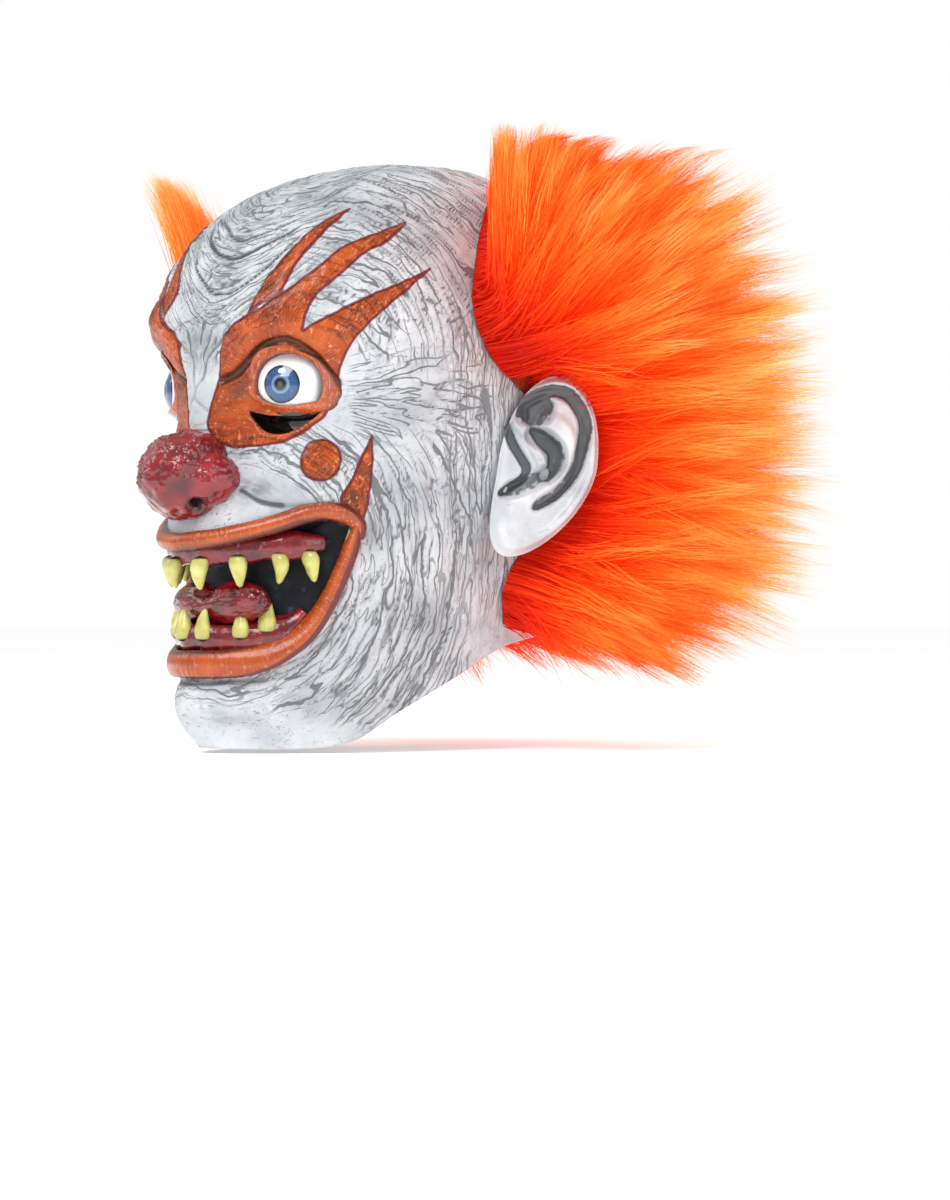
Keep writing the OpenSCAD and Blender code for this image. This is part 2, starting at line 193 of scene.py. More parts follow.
def make_piece(name, points, faces, material, nodes, floats=None, vectors=None):
    """A mesh object from points in mm and arrays of faces. It rides on the root body."""
    mesh = bpy.data.meshes.new(name)
    mesh.vertices.add(len(points))
    mesh.vertices.foreach_set("co", (points * MM).astype(np.float32).ravel())
    corners = np.concatenate([np.asarray(f).ravel() for f in faces])
    sizes = np.concatenate([np.full(len(f), np.asarray(f).shape[1]) for f in faces])
    mesh.loops.add(len(corners))
    mesh.loops.foreach_set("vertex_index", corners.astype(np.int32))
    mesh.polygons.add(len(sizes))
    starts = np.concatenate([[0], np.cumsum(sizes)[:-1]])
    mesh.polygons.foreach_set("loop_start", starts.astype(np.int32))
    mesh.update(calc_edges=True)
    mesh.polygons.foreach_set("use_smooth", np.full(len(sizes), True))
    for key, values in (floats or {}).items():
        layer = mesh.attributes.new(key, "FLOAT", "POINT")
        layer.data.foreach_set("value", np.asarray(values, np.float32).ravel())
    for key, values in (vectors or {}).items():
        layer = mesh.attributes.new(key, "FLOAT_VECTOR", "POINT")
        layer.data.foreach_set("vector", np.asarray(values, np.float32).ravel())
    mesh.materials.append(material)
    piece = bpy.data.objects.new(name, mesh)
    bpy.context.scene.collection.objects.link(piece)
    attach(piece, "root")
    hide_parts(*nodes)
    return piece


def grid_faces(rows, cols, start=0, closed=True):
    """Quads over a grid of points, each row closed into a ring if asked."""
    width = cols if closed else cols - 1
    j, i = np.meshgrid(np.arange(rows - 1), np.arange(width), indexing="ij")
    right = (i + 1) % cols
    quads = np.stack([j * cols + i, j * cols + right, (j + 1) * cols + right, (j + 1) * cols + i], -1)
    return start + quads.reshape(-1, 4)


def capped_rings(rings):
    """Points and faces of a closed solid over rings of points (rows, cols, 3)."""
    rows, cols = rings.shape[:2]
    points = np.concatenate([rings.reshape(-1, 3), [rings[0].mean(0)], [rings[-1].mean(0)]])
    i = np.arange(cols)
    right = (i + 1) % cols
    low = np.stack([right, i, np.full(cols, rows * cols)], -1)
    last = (rows - 1) * cols
    high = np.stack([last + i, last + right, np.full(cols, rows * cols + 1)], -1)
    return points, [grid_faces(rows, cols), low, high]


def flipped(faces):
    """The same faces, turned over."""
    return [f[:, ::-1] for f in faces]


def ring_values(values):
    """Values on the rings' points, with those of the two cap points added."""
    return np.concatenate([values.reshape(-1), [values[0].mean(), values[-1].mean()]])


def smooth_line(points, steps=6):
    """Curve through the points, as more points."""
    p = np.asarray(points, float)
    p = np.concatenate([[2 * p[0] - p[1]], p, [2 * p[-1] - p[-2]]])
    t = (np.arange(steps) / steps)[:, None]
    parts = []
    for a, b, c, d in zip(p, p[1:], p[2:], p[3:]):
        parts.append(
            b + 0.5 * t * (c - a)
            + t ** 2 * (a - 2.5 * b + 2 * c - 0.5 * d)
            + t ** 3 * (1.5 * (b - c) + 0.5 * (d - a))
        )
    return np.concatenate(parts + [p[-2:-1]])


def line_distance(points, line):
    """Distance from each point to a line of points in space."""
    best = np.full(len(points), np.inf)
    for start, end in zip(line, line[1:]):
        d = end - start
        t = np.clip((points - start) @ d / (d @ d + 1e-9), 0, 1)
        best = np.minimum(best, ((points - start - t[:, None] * d) ** 2).sum(1))
    return np.sqrt(best)


def is_inside(a, z, outline):
    """Whether each (a, z) lies inside a closed outline."""
    odd = np.zeros(a.shape, bool)
    for (a0, z0), (a1, z1) in zip(outline, np.roll(outline, -1, 0)):
        crosses = (z0 > z) != (z1 > z)
        odd ^= crosses & (a < a0 + (a1 - a0) * (z - z0) / (z1 - z0 + 1e-9))
    return odd


# ---- Making materials --------------------------------------------------------------


def srgb(text):
    """Linear colour from a six-figure hex colour."""
    parts = [int(text[i:i + 2], 16) / 255 for i in (0, 2, 4)]
    return (*[c / 12.92 if c <= 0.04045 else ((c + 0.055) / 1.055) ** 2.4 for c in parts], 1.0)


class Paint:
    """A material's node tree, built a node at a time."""

    def __init__(self, name, **shader):
        self.material = bpy.data.materials.new(name)
        self.material.use_nodes = True
        self.tree = self.material.node_tree
        self.shader = self.tree.nodes["Principled BSDF"]
        for key, value in shader.items():
            self.put(self.shader, key.replace("_", " "), value)

    def put(self, node, key, value):
        if isinstance(value, bpy.types.NodeSocket):
            self.tree.links.new(value, node.inputs[key])
        else:
            node.inputs[key].default_value = value

    def add(self, kind, values=None, **settings):
        node = self.tree.nodes.new("ShaderNode" + kind)
        for key, value in settings.items():
            setattr(node, key, value)
        for key, value in (values or {}).items():
            self.put(node, key, value)
        return node

    def value(self, name):
        return self.add("Attribute", attribute_name=name).outputs["Fac"]

    def vector(self, name):
        return self.add("Attribute", attribute_name=name).outputs["Vector"]

    def place(self):
        """Position on the object, in metres."""
        return self.add("TexCoord").outputs["Object"]

    def stretch(self, vector, scale):
        return self.add("VectorMath", {0: vector, 1: scale}, operation="MULTIPLY").outputs[0]

    def noise(self, vector, scale, detail=2.0, rough=0.5):
        values = {"Vector": vector, "Scale": scale, "Detail": detail, "Roughness": rough}
        return self.add("TexNoise", values).outputs["Fac"]

    def cells(self, vector, scale):
        return self.add("TexVoronoi", {"Vector": vector, "Scale": scale}).outputs["Distance"]

    def joined(self, x, y, z=0.0):
        """Vector from three values."""
        return self.add("CombineXYZ", {0: x, 1: y, 2: z}).outputs[0]

    def math(self, operation, a, b=0.5):
        return self.add("Math", {0: a, 1: b}, operation=operation).outputs[0]

    def times(self, a, b):
        return self.math("MULTIPLY", a, b)

    def most(self, first, *others):
        """The greatest of several values."""
        for other in others:
            first = self.math("MAXIMUM", first, other)
        return first

    def far_from(self, x, middle):
        """How far x is from a middle value, either way."""
        return self.math("ABSOLUTE", self.math("SUBTRACT", x, middle))

    def step(self, x, low, high, start=0.0, end=1.0):
        """Smooth step from start to end as x goes from low to high."""
        values = {"Value": x, "From Min": low, "From Max": high, "To Min": start, "To Max": end}
        return self.add("MapRange", values, interpolation_type="SMOOTHSTEP").outputs[0]

    def mix(self, share, a, b):
        """Colour a going over to colour b by a share."""
        node = self.add("Mix", data_type="RGBA")
        sockets = [s for s in node.inputs if s.name in ("Factor", "A", "B") and s.enabled]
        for socket, value in zip(sockets, (share, a, b)):
            if isinstance(value, bpy.types.NodeSocket):
                self.tree.links.new(value, socket)
            else:
                socket.default_value = value
        return [s for s in node.outputs if s.enabled][0]

    def ramp(self, x, stops):
        """Colour that x picks between stops of a place from 0 to 1 and a hex colour."""
        node = self.add("ValToRGB", {"Fac": x})
        elements = node.color_ramp.elements
        while len(elements) < len(stops):
            elements.new(0.5)
        for element, (at, colour) in zip(elements, stops):
            element.position = at
            element.color = srgb(colour)
        return node.outputs["Color"]

    def bump(self, height, depth, normal=None):
        """Normal from a height of 0 to 1 that stands for depth in mm."""
        node = self.add("Bump", {"Height": height, "Strength": 1.0, "Distance": depth * MM})
        if normal is not None:
            self.put(node, "Normal", normal)
        return node.outputs[0]

    def finish(self, **sockets):
        for key, value in sockets.items():
            self.put(self.shader, key.replace("_", " "), value)
        return self.material


# ---- Latex skin --------------------------------------------------------------------

# The eye's paint: down the outer side and round the eye from claw tip to claw tip, then
# in to the notch between the two claws and out again. Each run is (a, z) points
EYE_PAINT = [
    [(52, 227.5), (46.5, 218), (40.5, 207), (36, 197), (32.5, 187), (30.5, 177), (28.5, 163),
     (25, 153), (19.5, 145), (13, 142.5), (6.5, 143.5), (3, 151), (3.5, 162), (5.5, 178),
     (7.5, 193), (12.5, 201), (17, 207), (22.5, 218.5), (26.5, 227), (30, 236), (36, 242.5),
     (45, 250.5)],
    [(45, 250.5), (41, 241), (35, 233), (31, 223), (27, 213.5), (25.5, 205), (24.5, 196.5)],
    [(24.5, 196.5), (27.5, 201), (35, 211), (43, 219), (52, 227.5)],
]
INNER_CLAW = [
    [(15, 205.5), (16, 219), (18.5, 229), (21.5, 241), (25, 250), (29.5, 256)],
    [(29.5, 256), (27, 248), (24, 237), (21.5, 225), (20, 214), (15, 205.5)],
]
CHEEK_SPIKE = [
    [(37, 148.5), (34.8, 139), (32.8, 128), (30, 117.5), (31, 110), (34.5, 107)],
    [(34.5, 107), (36.2, 119), (37, 134), (37, 148.5)],
]
DOT = (26.5, 136, 3.9, 10)
# Creases: (a, z) points, half width and depth
CREASES = [
    ([(29.5, 172), (26.5, 183), (23.5, 189.5), (20.5, 192), (16, 189), (12.5, 182.5), (9, 176.5),
      (6, 174)], 2.1, 3.2),
    ([(14, 140), (17, 134), (21, 129)], 1.1, 0.9),
    ([(11, 122), (15, 116.5), (19, 114.5)], 1.6, 1.5),
    ([(19, 114.5), (24, 113.5), (29, 116)], 1.0, 0.8),
    ([(31, 171), (37, 171), (43, 174)], 0.8, 0.9),
    ([(31, 167), (38, 166), (46, 169), (54, 171)], 0.6, 0.6),
    ([(6, 205), (10, 197), (3, 186), (1.5, 175)], 1.3, 1.0),
    ([(-14, 33), (0, 31), (14, 33)], 2.2, 1.0),
    ([(35, 236), (33, 229)], 1.2, 1.2),
    ([(39, 213), (37, 203)], 1.1, 1.0),
    ([(34, 206), (32, 196)], 1.1, 1.0),
    ([(2, 178), (0, 168), (3, 160)], 1.2, 0.8),
]
# Folds across the forehead: lowest height, how sharply each turns up, half width, depth
FOREHEAD_FOLDS = [
    (200, 0.16, 0.5, 0.6), (206, 0.14, 0.8, 1.0), (211, 0.13, 0.5, 0.5), (216, 0.12, 1.0, 1.6),
    (222, 0.09, 0.5, 0.7), (228, 0.08, 0.6, 0.8), (233, 0.075, 1.1, 1.8), (238, 0.065, 0.5, 0.7),
    (243, 0.055, 0.9, 1.4), (248, 0.05, 0.5, 0.6), (253, 0.05, 0.7, 0.9), (259, 0.045, 0.6, 0.7),
    (265, 0.04, 0.6, 0.6),
]
FOREHEAD_MIDDLE = 6.0
# Dark wash: (a, z), spread in a and z, strength
WASH = [
    (10, 170, 3.5, 6, 0.9), (13, 158, 3, 5, 0.35), (20, 193, 9, 4, 0.3), (13, 122, 5, 7, 0.8),
    (24, 112, 8, 4, 0.6), (37, 104, 3.5, 10, 0.55), (48, 118, 7, 14, 0.3), (44, 160, 9, 8, 0.35),
    (79, 138, 5, 26, 0.45), (70, 92, 9, 20, 0.4), (50, 60, 10, 14, 0.35), (0, 34, 14, 4, 0.4),
    (8, 14, 6, 4, 0.4), (30, 20, 14, 8, 0.3), (2, 190, 4, 10, 0.5),
]
# Middles that the rings of wrinkles run round: (a, z)
EYE_RING = (20, 172)
MOUTH_RING = (10, 86)
# How far outside an outline its distance is still worked out
OUTSIDE = 14.0
# Distance to a wrinkle from which it no longer matters
FOLD_FAR = 6.0


def spread(stops, steps):
    """Values from the first stop to the last, with a given step between each two."""
    parts = [np.arange(a, b, (b - a) / round((b - a) / s)) for a, b, s in zip(stops, stops[1:], steps)]
    return np.concatenate(parts + [[stops[-1]]])


def paint_angle(a, z):
    """Angle in the left side's paint. The right side mirrors it about a middle line that
    shifts to the left on the forehead, as the paint is done by hand."""
    middle = 4.0 * smoothstep(185, 215, z)
    return abs(a - middle) + middle


def signed_distance(a, z, points, runs):
    """Millimetres inside a closed outline, negative outside, down to -OUTSIDE."""
    lines = [smooth_line(run) for run in runs]
    outline = np.concatenate([line[:-1] for line in lines])
    result = np.full(len(a), -OUTSIDE)
    near = (
        (a > outline[:, 0].min() - 6) & (a < outline[:, 0].max() + 6)
        & (z > outline[:, 1].min() - OUTSIDE) & (z < outline[:, 1].max() + OUTSIDE)
    )
    loop = np.concatenate([outline, outline[:1]])
    far = line_distance(points[near], head(loop[:, 0], loop[:, 1]))
    result[near] = np.where(is_inside(a[near], z[near], outline), far, -far)
    return result


def fold_gap(across, along, points, pitch, length, seed):
    """Distance in mm to wrinkle lines that run along the flow: the zero lines of a noise."""
    warp = 0.5 * noise(points / 24, seed) + 0.2 * noise(points / 8, seed + 3)
    at = np.stack([across / pitch + warp, along / length, 0 * along + 0.37], -1)
    step = np.array([0.1, 0, 0])
    slope = (noise(at + step, seed) - noise(at - step, seed)) / (0.2 * pitch)
    return abs(noise(at, seed)) / np.maximum(abs(slope), 0.35 / pitch)


def skin_fields(a, z):
    """Everything that is drawn on the skin at angles a and heights z: its relief in mm,
    and the values that its paint uses."""
    own = head(a, z)
    pa = paint_angle(a, z)
    points = head(pa, z)
    wobble = 0.5 * noise(own / 6, 5) + 0.25 * noise(own / 2.5, 6)
    paint = signed_distance(pa, z, points, EYE_PAINT)
    for runs in (INNER_CLAW, CHEEK_SPIKE):
        paint = np.maximum(paint, signed_distance(pa, z, points, runs))
    dot = [(DOT[0] + DOT[2] * math.cos(t), DOT[1] + DOT[3] * math.sin(t))
           for t in np.linspace(0, 2 * math.pi, 17)]
    paint = np.maximum(paint, signed_distance(pa, z, points, [dot]))
    paint = paint + wobble

    groove = np.zeros(len(a))
    for line, half_width, depth in CREASES:
        line = smooth_line(line)
        gap = line_distance(points, head(line[:, 0], line[:, 1])) + 0.5 * wobble
        groove = np.maximum(groove, depth * bell(gap / half_width))
    for low, turn, half_width, depth in FOREHEAD_FOLDS:
        line_z = low + turn * (a - FOREHEAD_MIDDLE) ** 2 + 3 * noise(own / 24, 9)
        ends = 1 - smoothstep(11, 19, abs(a - FOREHEAD_MIDDLE) + 3 * noise(own / 15, 10))
        groove = np.maximum(groove, depth * ends * bell((z - line_z) / half_width))

    eye = head(np.array(EYE_RING[0]), np.array(EYE_RING[1]))
    mouth = head(np.array(MOUTH_RING[0]), np.array(MOUTH_RING[1]))
    eye_far = np.linalg.norm(points - eye, axis=1)
    mouth_far = np.linalg.norm(points - mouth, axis=1)
    eye_turn = np.arctan2(z - EYE_RING[1], 2.2 * (pa - EYE_RING[0]))
    mouth_turn = np.arctan2(z - MOUTH_RING[1], 2.2 * (pa - MOUTH_RING[0]))
    # Rings round the eye above, rings round the mouth below, crow's feet between, upright
    # lines before the ear and nested bows across the forehead
    brow = smoothstep(196, 206, z) * (1 - smoothstep(15, 24, abs(a - FOREHEAD_MIDDLE)))
    above = smoothstep(172, 200, z) * smoothstep(24, 40, eye_far) * (1 - 0.8 * brow)
    below = (1 - smoothstep(128, 165, z)) * smoothstep(44, 56, mouth_far)
    below = below * (1 - smoothstep(58, 74, pa)) * smoothstep(14, 44, z + 0.5 * pa)
    beside = bell((z - 166) / 19) * smoothstep(30, 36, pa) * (1 - smoothstep(64, 78, pa))
    upright = smoothstep(52, 64, pa) * (1 - smoothstep(88, 96, pa)) * bell((z - 140) / 70)
    ray_z = 166 + (z - 166) * 26 / np.maximum(pa - 12, 12)
    bow = z - (0.14 - 0.1 * smoothstep(205, 260, z)) * (a - FOREHEAD_MIDDLE) ** 2
    families = {
        "eye_rings": (eye_far, eye_turn * 60, above),
        "mouth_rings": (mouth_far, mouth_turn * 60, below),
        "crow_feet": (ray_z, pa * 2.2, beside),
        "upright": (pa * 1.6, z, upright),
        "bows": (bow, 1.9 * a, brow),
    }
    # Moulded wrinkles: family, pitch of its lines and their length, in mm
    relief_sets = [
        ("eye_rings", 5.6, 60), ("eye_rings", 3.2, 26), ("mouth_rings", 5.8, 60),
        ("mouth_rings", 3.4, 26), ("crow_feet", 2.6, 26), ("upright", 3.8, 50), ("bows", 3.6, 34),
    ]
    folds = []
    for number, (family, pitch, length) in enumerate(relief_sets):
        across, along, mask = families[family]
        mask = mask * smoothstep(-0.6, 0.1, noise(own / 19, 30 + number))
        gap = fold_gap(across, along, own, pitch, length, 20 + number)
        folds.append(gap / np.maximum(mask, 0.05) + 0.5 * (1 - mask))
    fold = np.minimum.reduce(folds)

    wash = np.zeros(len(a))
    for wa, wz, da, dz, strength in WASH:
        wash = np.maximum(wash, strength * bell((pa - wa) / da) * bell((z - wz) / dz))
    crown = smoothstep(262, 276, z)
    blush = smoothstep(50, 84, abs(a)) * smoothstep(165, 190, z)

    ridge = 0.9 * smoothstep(-0.8, 2.2, paint)
    crease_depth = 0.75 * (1 - smoothstep(180, 270, z) * 0.35)
    relief = (
        ridge - groove - crease_depth * bell(fold / 0.9)
        + 0.55 * noise(own / 11, 12) + 0.25 * noise(own / 4.5, 13)
    )
    flow_weight = smoothstep(150, 175, z)
    across = eye_far * flow_weight + mouth_far * (1 - flow_weight)
    along = (eye_turn * flow_weight + mouth_turn * (1 - flow_weight)) * 60
    return {
        "relief": relief,
        "paint": paint,
        "fold": np.minimum(fold, FOLD_FAR),
        "groove": groove,
        "wash": wash * (1 - 0.5 * crown),
        "blush": blush,
        "flow": np.stack([across, along, 0 * along], -1),
        **{name: np.stack(values, -1) for name, values in families.items()},
    }


# Painted wrinkles of each family: pitch and length of the lines in mm, and darkness
WRINKLES = {
    "eye_rings": [(6.4, 60, 0.85), (3.4, 22, 0.55)],
    "mouth_rings": [(6.6, 64, 0.85), (3.4, 24, 0.6)],
    "crow_feet": [(2.4, 26, 0.8)],
    "upright": [(4.2, 60, 0.8), (2.4, 18, 0.55)],
    "bows": [(3.6, 30, 0.8), (2.2, 14, 0.55)],
}

# The vision slit under each eye: its middle, half width, height and turned-up corners
SLIT_X = 39.0
SLIT_Z = 157.0
SLIT_HALF_W = 14.0
SLIT_H = 9.0
SLIT_CURL = 3.0


def slit_outline(side):
    """The vision slit's edge, in X and Z."""
    t = np.linspace(-1, 1, 60)
    top = SLIT_Z + SLIT_CURL * t ** 2
    low = top - SLIT_H * (1 - t ** 2)
    x = side * (SLIT_X + SLIT_HALF_W * t)
    return np.concatenate([np.stack([x, top], -1), np.stack([x[::-1], low[::-1]], -1)])


MOUTH_R = 57.0
SKIN_TUCK = 2.2
SKIN_ROWS = 163
DOME_ROWS = 96


def mouth_top(x):
    """Height of the mouth opening's upper edge."""
    return 92.5 + 18 * (x / MOUTH_R) ** 2


def mouth_low(x):
    """Height of the mouth opening's lower edge."""
    return 47 + 62 * (abs(x) / MOUTH_R) ** 5


def mouth_outline():
    """Edge of the skin round the mouth, which the lips cover by SKIN_TUCK."""
    x = MOUTH_R * np.sin(np.linspace(-math.pi / 2, math.pi / 2, 80))
    top = np.stack([x * (1 + SKIN_TUCK / MOUTH_R), mouth_top(x) + SKIN_TUCK], -1)
    low = np.stack([x[::-1] * (1 + SKIN_TUCK / MOUTH_R), mouth_low(x[::-1]) - SKIN_TUCK], -1)
    return np.concatenate([top, low])


def build_skin(material):
    # The grid is closest on the face and widest round the back, in degrees
    half = spread([0, 54, 100, 180], [0.5, 0.9, 5])
    angles = np.concatenate([-half[:0:-1], half[:-1]])
    # Rows run from 0 at the lower edge through 1 at the brow to nearly 2 at the crown
    low_rows = np.linspace(0, 1, SKIN_ROWS)
    dome_rows = 1 + np.linspace(0, 0.985, DOME_ROWS)[1:]
    u, a = np.meshgrid(np.concatenate([low_rows, dome_rows]), angles, indexing="ij")
    low_z = edge_z(a) + u * (BROW_Z - edge_z(a))
    rise = np.sin(np.pi / 2 * np.clip(u - 1, 0, 1)) ** (2 / DOME_POWER)
    z = np.where(u <= 1, low_z, BROW_Z + (CROWN_Z - BROW_Z) * rise)
    rows, cols = a.shape
    a, z = a.ravel(), z.ravel()
    base = head(a, z)

    openings = [mouth_outline()]
    openings += [outline(side) for outline in (slit_outline, eye_outline) for side in (1, -1)]
    quads = grid_faces(rows, cols)
    middles = base[quads].mean(1)
    in_front = middles[:, 1] < 0
    cut = [in_front & is_inside(middles[:, 0], middles[:, 2], outline) for outline in openings]
    keep = ~np.any(cut, axis=0)
    # The grid's points round an opening move onto its outline
    for outline, inside in zip(openings, cut):
        border = np.intersect1d(quads[inside], quads[keep])
        gaps = ((base[border][:, None, [0, 2]] - outline[None]) ** 2).sum(2)
        nearest = outline[gaps.argmin(1)]
        y = face_y(nearest[:, 0], nearest[:, 1])
        base[border] = np.stack([nearest[:, 0], y, nearest[:, 1]], -1)
    a = np.degrees(np.arctan2(base[:, 0], CROWN_Y - base[:, 1]))
    fields = skin_fields(a, base[:, 2])

    normal = head_normal(a, np.minimum(base[:, 2], CROWN_Z - 0.4))
    fade = smoothstep(0, 5, base[:, 2] - edge_z(a))
    outer = base + normal * (fields["relief"] * (0.3 + 0.7 * fade))[:, None]
    inner = base - normal * SKIN_T
    crown = np.array([[0, CROWN_Y, CROWN_Z], [0, CROWN_Y, CROWN_Z - SKIN_T]])
    points = np.concatenate([outer, inner, crown])
    count = rows * cols

    kept = quads[keep]
    sides = np.concatenate([kept[:, [i, (i + 1) % 4]] for i in range(4)])
    key = np.sort(sides, 1) @ np.array([count, 1])
    _, first, seen = np.unique(key, return_index=True, return_counts=True)
    rim = sides[first[seen == 1]]
    rim = rim[(rim // cols).min(1) < rows - 1]
    walls = np.stack([rim[:, 1], rim[:, 0], rim[:, 0] + count, rim[:, 1] + count], -1)
    top = (rows - 1) * cols + np.arange(cols)
    fan = np.stack([top, np.roll(top, -1), np.full(cols, 2 * count)], -1)
    inner_fan = np.stack([np.roll(top, -1), top, np.full(cols, count + 1)], -1) + count
    faces = [kept, kept[:, ::-1] + count, walls, fan, inner_fan]

    def both(values):
        """Values of the outer points, then zeros for the inner and crown points."""
        return np.concatenate([values, np.zeros((count + 2, *values.shape[1:]))])

    floats = {key: both(fields[key]) for key in ("paint", "fold", "groove", "wash", "blush")}
    floats["paint"][count:] = -9
    floats["fold"][count:] = FOLD_FAR
    floats["inside"] = np.concatenate([np.zeros(count), np.ones(count + 2)])
    x, y, z = base.T
    in_mouth = (abs(x) < MOUTH_R + 3) & (y < 0) & (z > mouth_low(x) - 4) & (z < mouth_top(x) + 3.5)
    floats["lip_rim"] = both(in_mouth.astype(float))
    vectors = {key: both(fields[key]) for key in ("flow", *WRINKLES)}
    used = np.unique(np.concatenate([f.ravel() for f in faces]))
    lookup = np.full(len(points), -1)
    lookup[used] = np.arange(len(used))
    return make_piece(
        "skin", points[used], [lookup[f] for f in faces], material, ["latex_skin"],
        {key: values[used] for key, values in floats.items()},
        {key: values[used] for key, values in vectors.items()},
    )


def wrinkle_lines(p, family, pitch, length, seed):
    """Darkness of thin lines with tapering ends that run along a family's flow."""
    across, along, strength = p.add("SeparateXYZ", {0: p.vector(family)}).outputs
    place = p.place()
    sway = p.times(p.math("SUBTRACT", p.noise(place, 42, 3, 0.55), 0.5), 2.2)
    row = p.math("ADD", p.math("DIVIDE", across, pitch), sway)
    run = p.math("DIVIDE", along, length)
    here = p.noise(p.joined(row, run, 3.7 * seed), 1.0, 0)
    # The noise a little to the side gives its slope, and so the distance to its middle value
    aside = 0.12
    there = p.noise(p.joined(p.math("ADD", row, aside), run, 3.7 * seed), 1.0, 0)
    slope = p.math("DIVIDE", p.far_from(there, here), aside * pitch)
    slope = p.most(slope, 0.16 / pitch)
    gap = p.math("DIVIDE", p.far_from(here, 0.5), slope)
    breaks = p.noise(p.joined(row, p.times(run, 2.3), 5.1 * seed + 9), 0.8, 2)
    ends = p.step(breaks, 0.36, 0.6)
    wide = p.times(ends, 0.075 * pitch + 0.16)
    line = p.step(p.math("SUBTRACT", gap, wide), -0.12, 0.06, 1.0, 0.0)
    return p.times(line, p.step(p.times(strength, p.step(ends, 0.05, 0.2)), 0.1, 0.5))


def all_lines(p):
    """Darkness of every family's lines together."""
    lines = []
    for seed, (family, sets) in enumerate(WRINKLES.items()):
        for number, (pitch, length, strength) in enumerate(sets):
            line = wrinkle_lines(p, family, pitch, length, 2 * seed + number)
            lines.append(p.times(line, strength))
    return p.most(*lines)


def latex_paint(p, fold, groove, wash, flow, lines):
    """Grey-white latex with a dark wash in its wrinkles: its colour and its height."""
    place = p.place()
    mottle = p.noise(place, 38, 4, 0.6)
    white = p.ramp(mottle, [(0.28, "ADB3BA"), (0.5, "C7CCD0"), (0.72, "DCDFE2")])
    dashes = p.noise(p.stretch(flow, (0.75, 0.22, 1)), 1.0, 3, 0.65)
    patch = p.noise(place, 26, 2)
    dash = p.times(p.step(dashes, 0.62, 0.67), p.step(patch, 0.45, 0.62, 0.05, 0.9))
    pits = p.step(p.cells(place, 620), 0.0, 0.28, 1.0, 0.0)
    pits = p.times(pits, p.step(p.noise(place, 60, 1), 0.46, 0.56))
    broken = p.step(p.noise(place, 150, 2), 0.3, 0.5, 0.5, 1.0)
    line = p.most(p.times(p.step(fold, 0.15, 0.65, 0.9, 0.0), broken), lines)
    shadow = p.step(fold, 0.4, 2.0, 0.2, 0.0)
    deep = p.step(groove, 0.2, 1.3)
    streaks = p.step(p.noise(p.stretch(flow, (0.35, 0.1, 1)), 1.0, 4), 0.3, 0.6, 0.4, 1.1)
    smear = p.times(wash, streaks)
    marks = [(line, 0.9), (deep, 0.92), (dash, 0.7), (pits, 0.75), (smear, 0.8)]
    dark = p.most(*[p.times(mark, strength) for mark, strength in marks], shadow)
    colour = p.mix(dark, white, srgb("3C4147"))
    height = p.math("SUBTRACT", 1.0, p.most(line, p.times(dash, 0.6)))
    height = p.math("SUBTRACT", height, p.times(pits, 0.5))
    return colour, height


def orange_paint(p, flow):
    """Brushed orange paint: its colour, before any outline."""
    place = p.place()
    strokes = p.noise(p.stretch(flow, (0.14, 0.9, 1)), 1.0, 3, 0.7)
    grain = p.noise(place, 420, 3, 0.7)
    base = p.ramp(p.noise(place, 60, 4, 0.6), [(0.3, "7E300C"), (0.48, "AE450E"), (0.68, "C95A18")])
    base = p.mix(p.step(strokes, 0.4, 0.28, 0.0, 0.7), base, srgb("5A2410"))
    base = p.mix(p.step(strokes, 0.56, 0.66, 0.0, 0.7), base, srgb("E28A55"))
    return p.mix(p.step(grain, 0.58, 0.7, 0.0, 0.7), base, srgb("F0A67C")), grain


def skin_material():
    p = Paint("painted_latex", Roughness=0.42, Specular_IOR_Level=0.4)
    flow = p.vector("flow")
    paint = p.value("paint")
    groove = p.value("groove")
    lines = all_lines(p)
    white, height = latex_paint(p, p.value("fold"), groove, p.value("wash"), flow, lines)
    fuzz = p.noise(p.place(), 240, 3)
    blush = p.times(p.value("blush"), p.step(fuzz, 0.45, 0.7, 0.1, 0.55))
    white = p.mix(blush, white, srgb("E9A493"))
    orange, grain = orange_paint(p, flow)
    shade = p.most(
        p.step(groove, 0.3, 1.6), p.times(p.value("wash"), 0.8),
        p.step(p.value("fold"), 0.1, 0.7, 0.8, 0.0), p.times(lines, 0.7),
    )
    orange = p.mix(p.times(shade, 0.85), orange, srgb("3E2014"))
    outline = p.step(p.far_from(paint, 0.35), 0.45, 0.95, 1.0, 0.0)
    colour = p.mix(p.step(paint, 0.0, 0.35), white, orange)
    colour = p.mix(p.times(outline, 0.92), colour, srgb("6A1418"))
    colour = p.mix(p.value("lip_rim"), colour, srgb("2A0D0A"))
    # The inside of the skin is painted a dark grey-brown as painted shade for the mask's hollow
    colour = p.mix(p.value("inside"), colour, p.ramp(fuzz, [(0.3, "35302D"), (0.7, "4A443F")]))
    gloss = p.step(paint, 0.0, 0.5, 0.46, 0.26)
    normal = p.bump(height, 0.5)
    normal = p.bump(grain, 0.16, normal)
    return p.finish(Base_Color=colour, Roughness=gloss, Normal=normal)


# ---- Ears --------------------------------------------------------------------------

EAR_H = 87.0
EAR_W = 48.0
EAR_SPLAY = math.radians(35)
EAR_ROOT = (84.0, 2.0, 134.5)
EAR_LEAN = 0.16

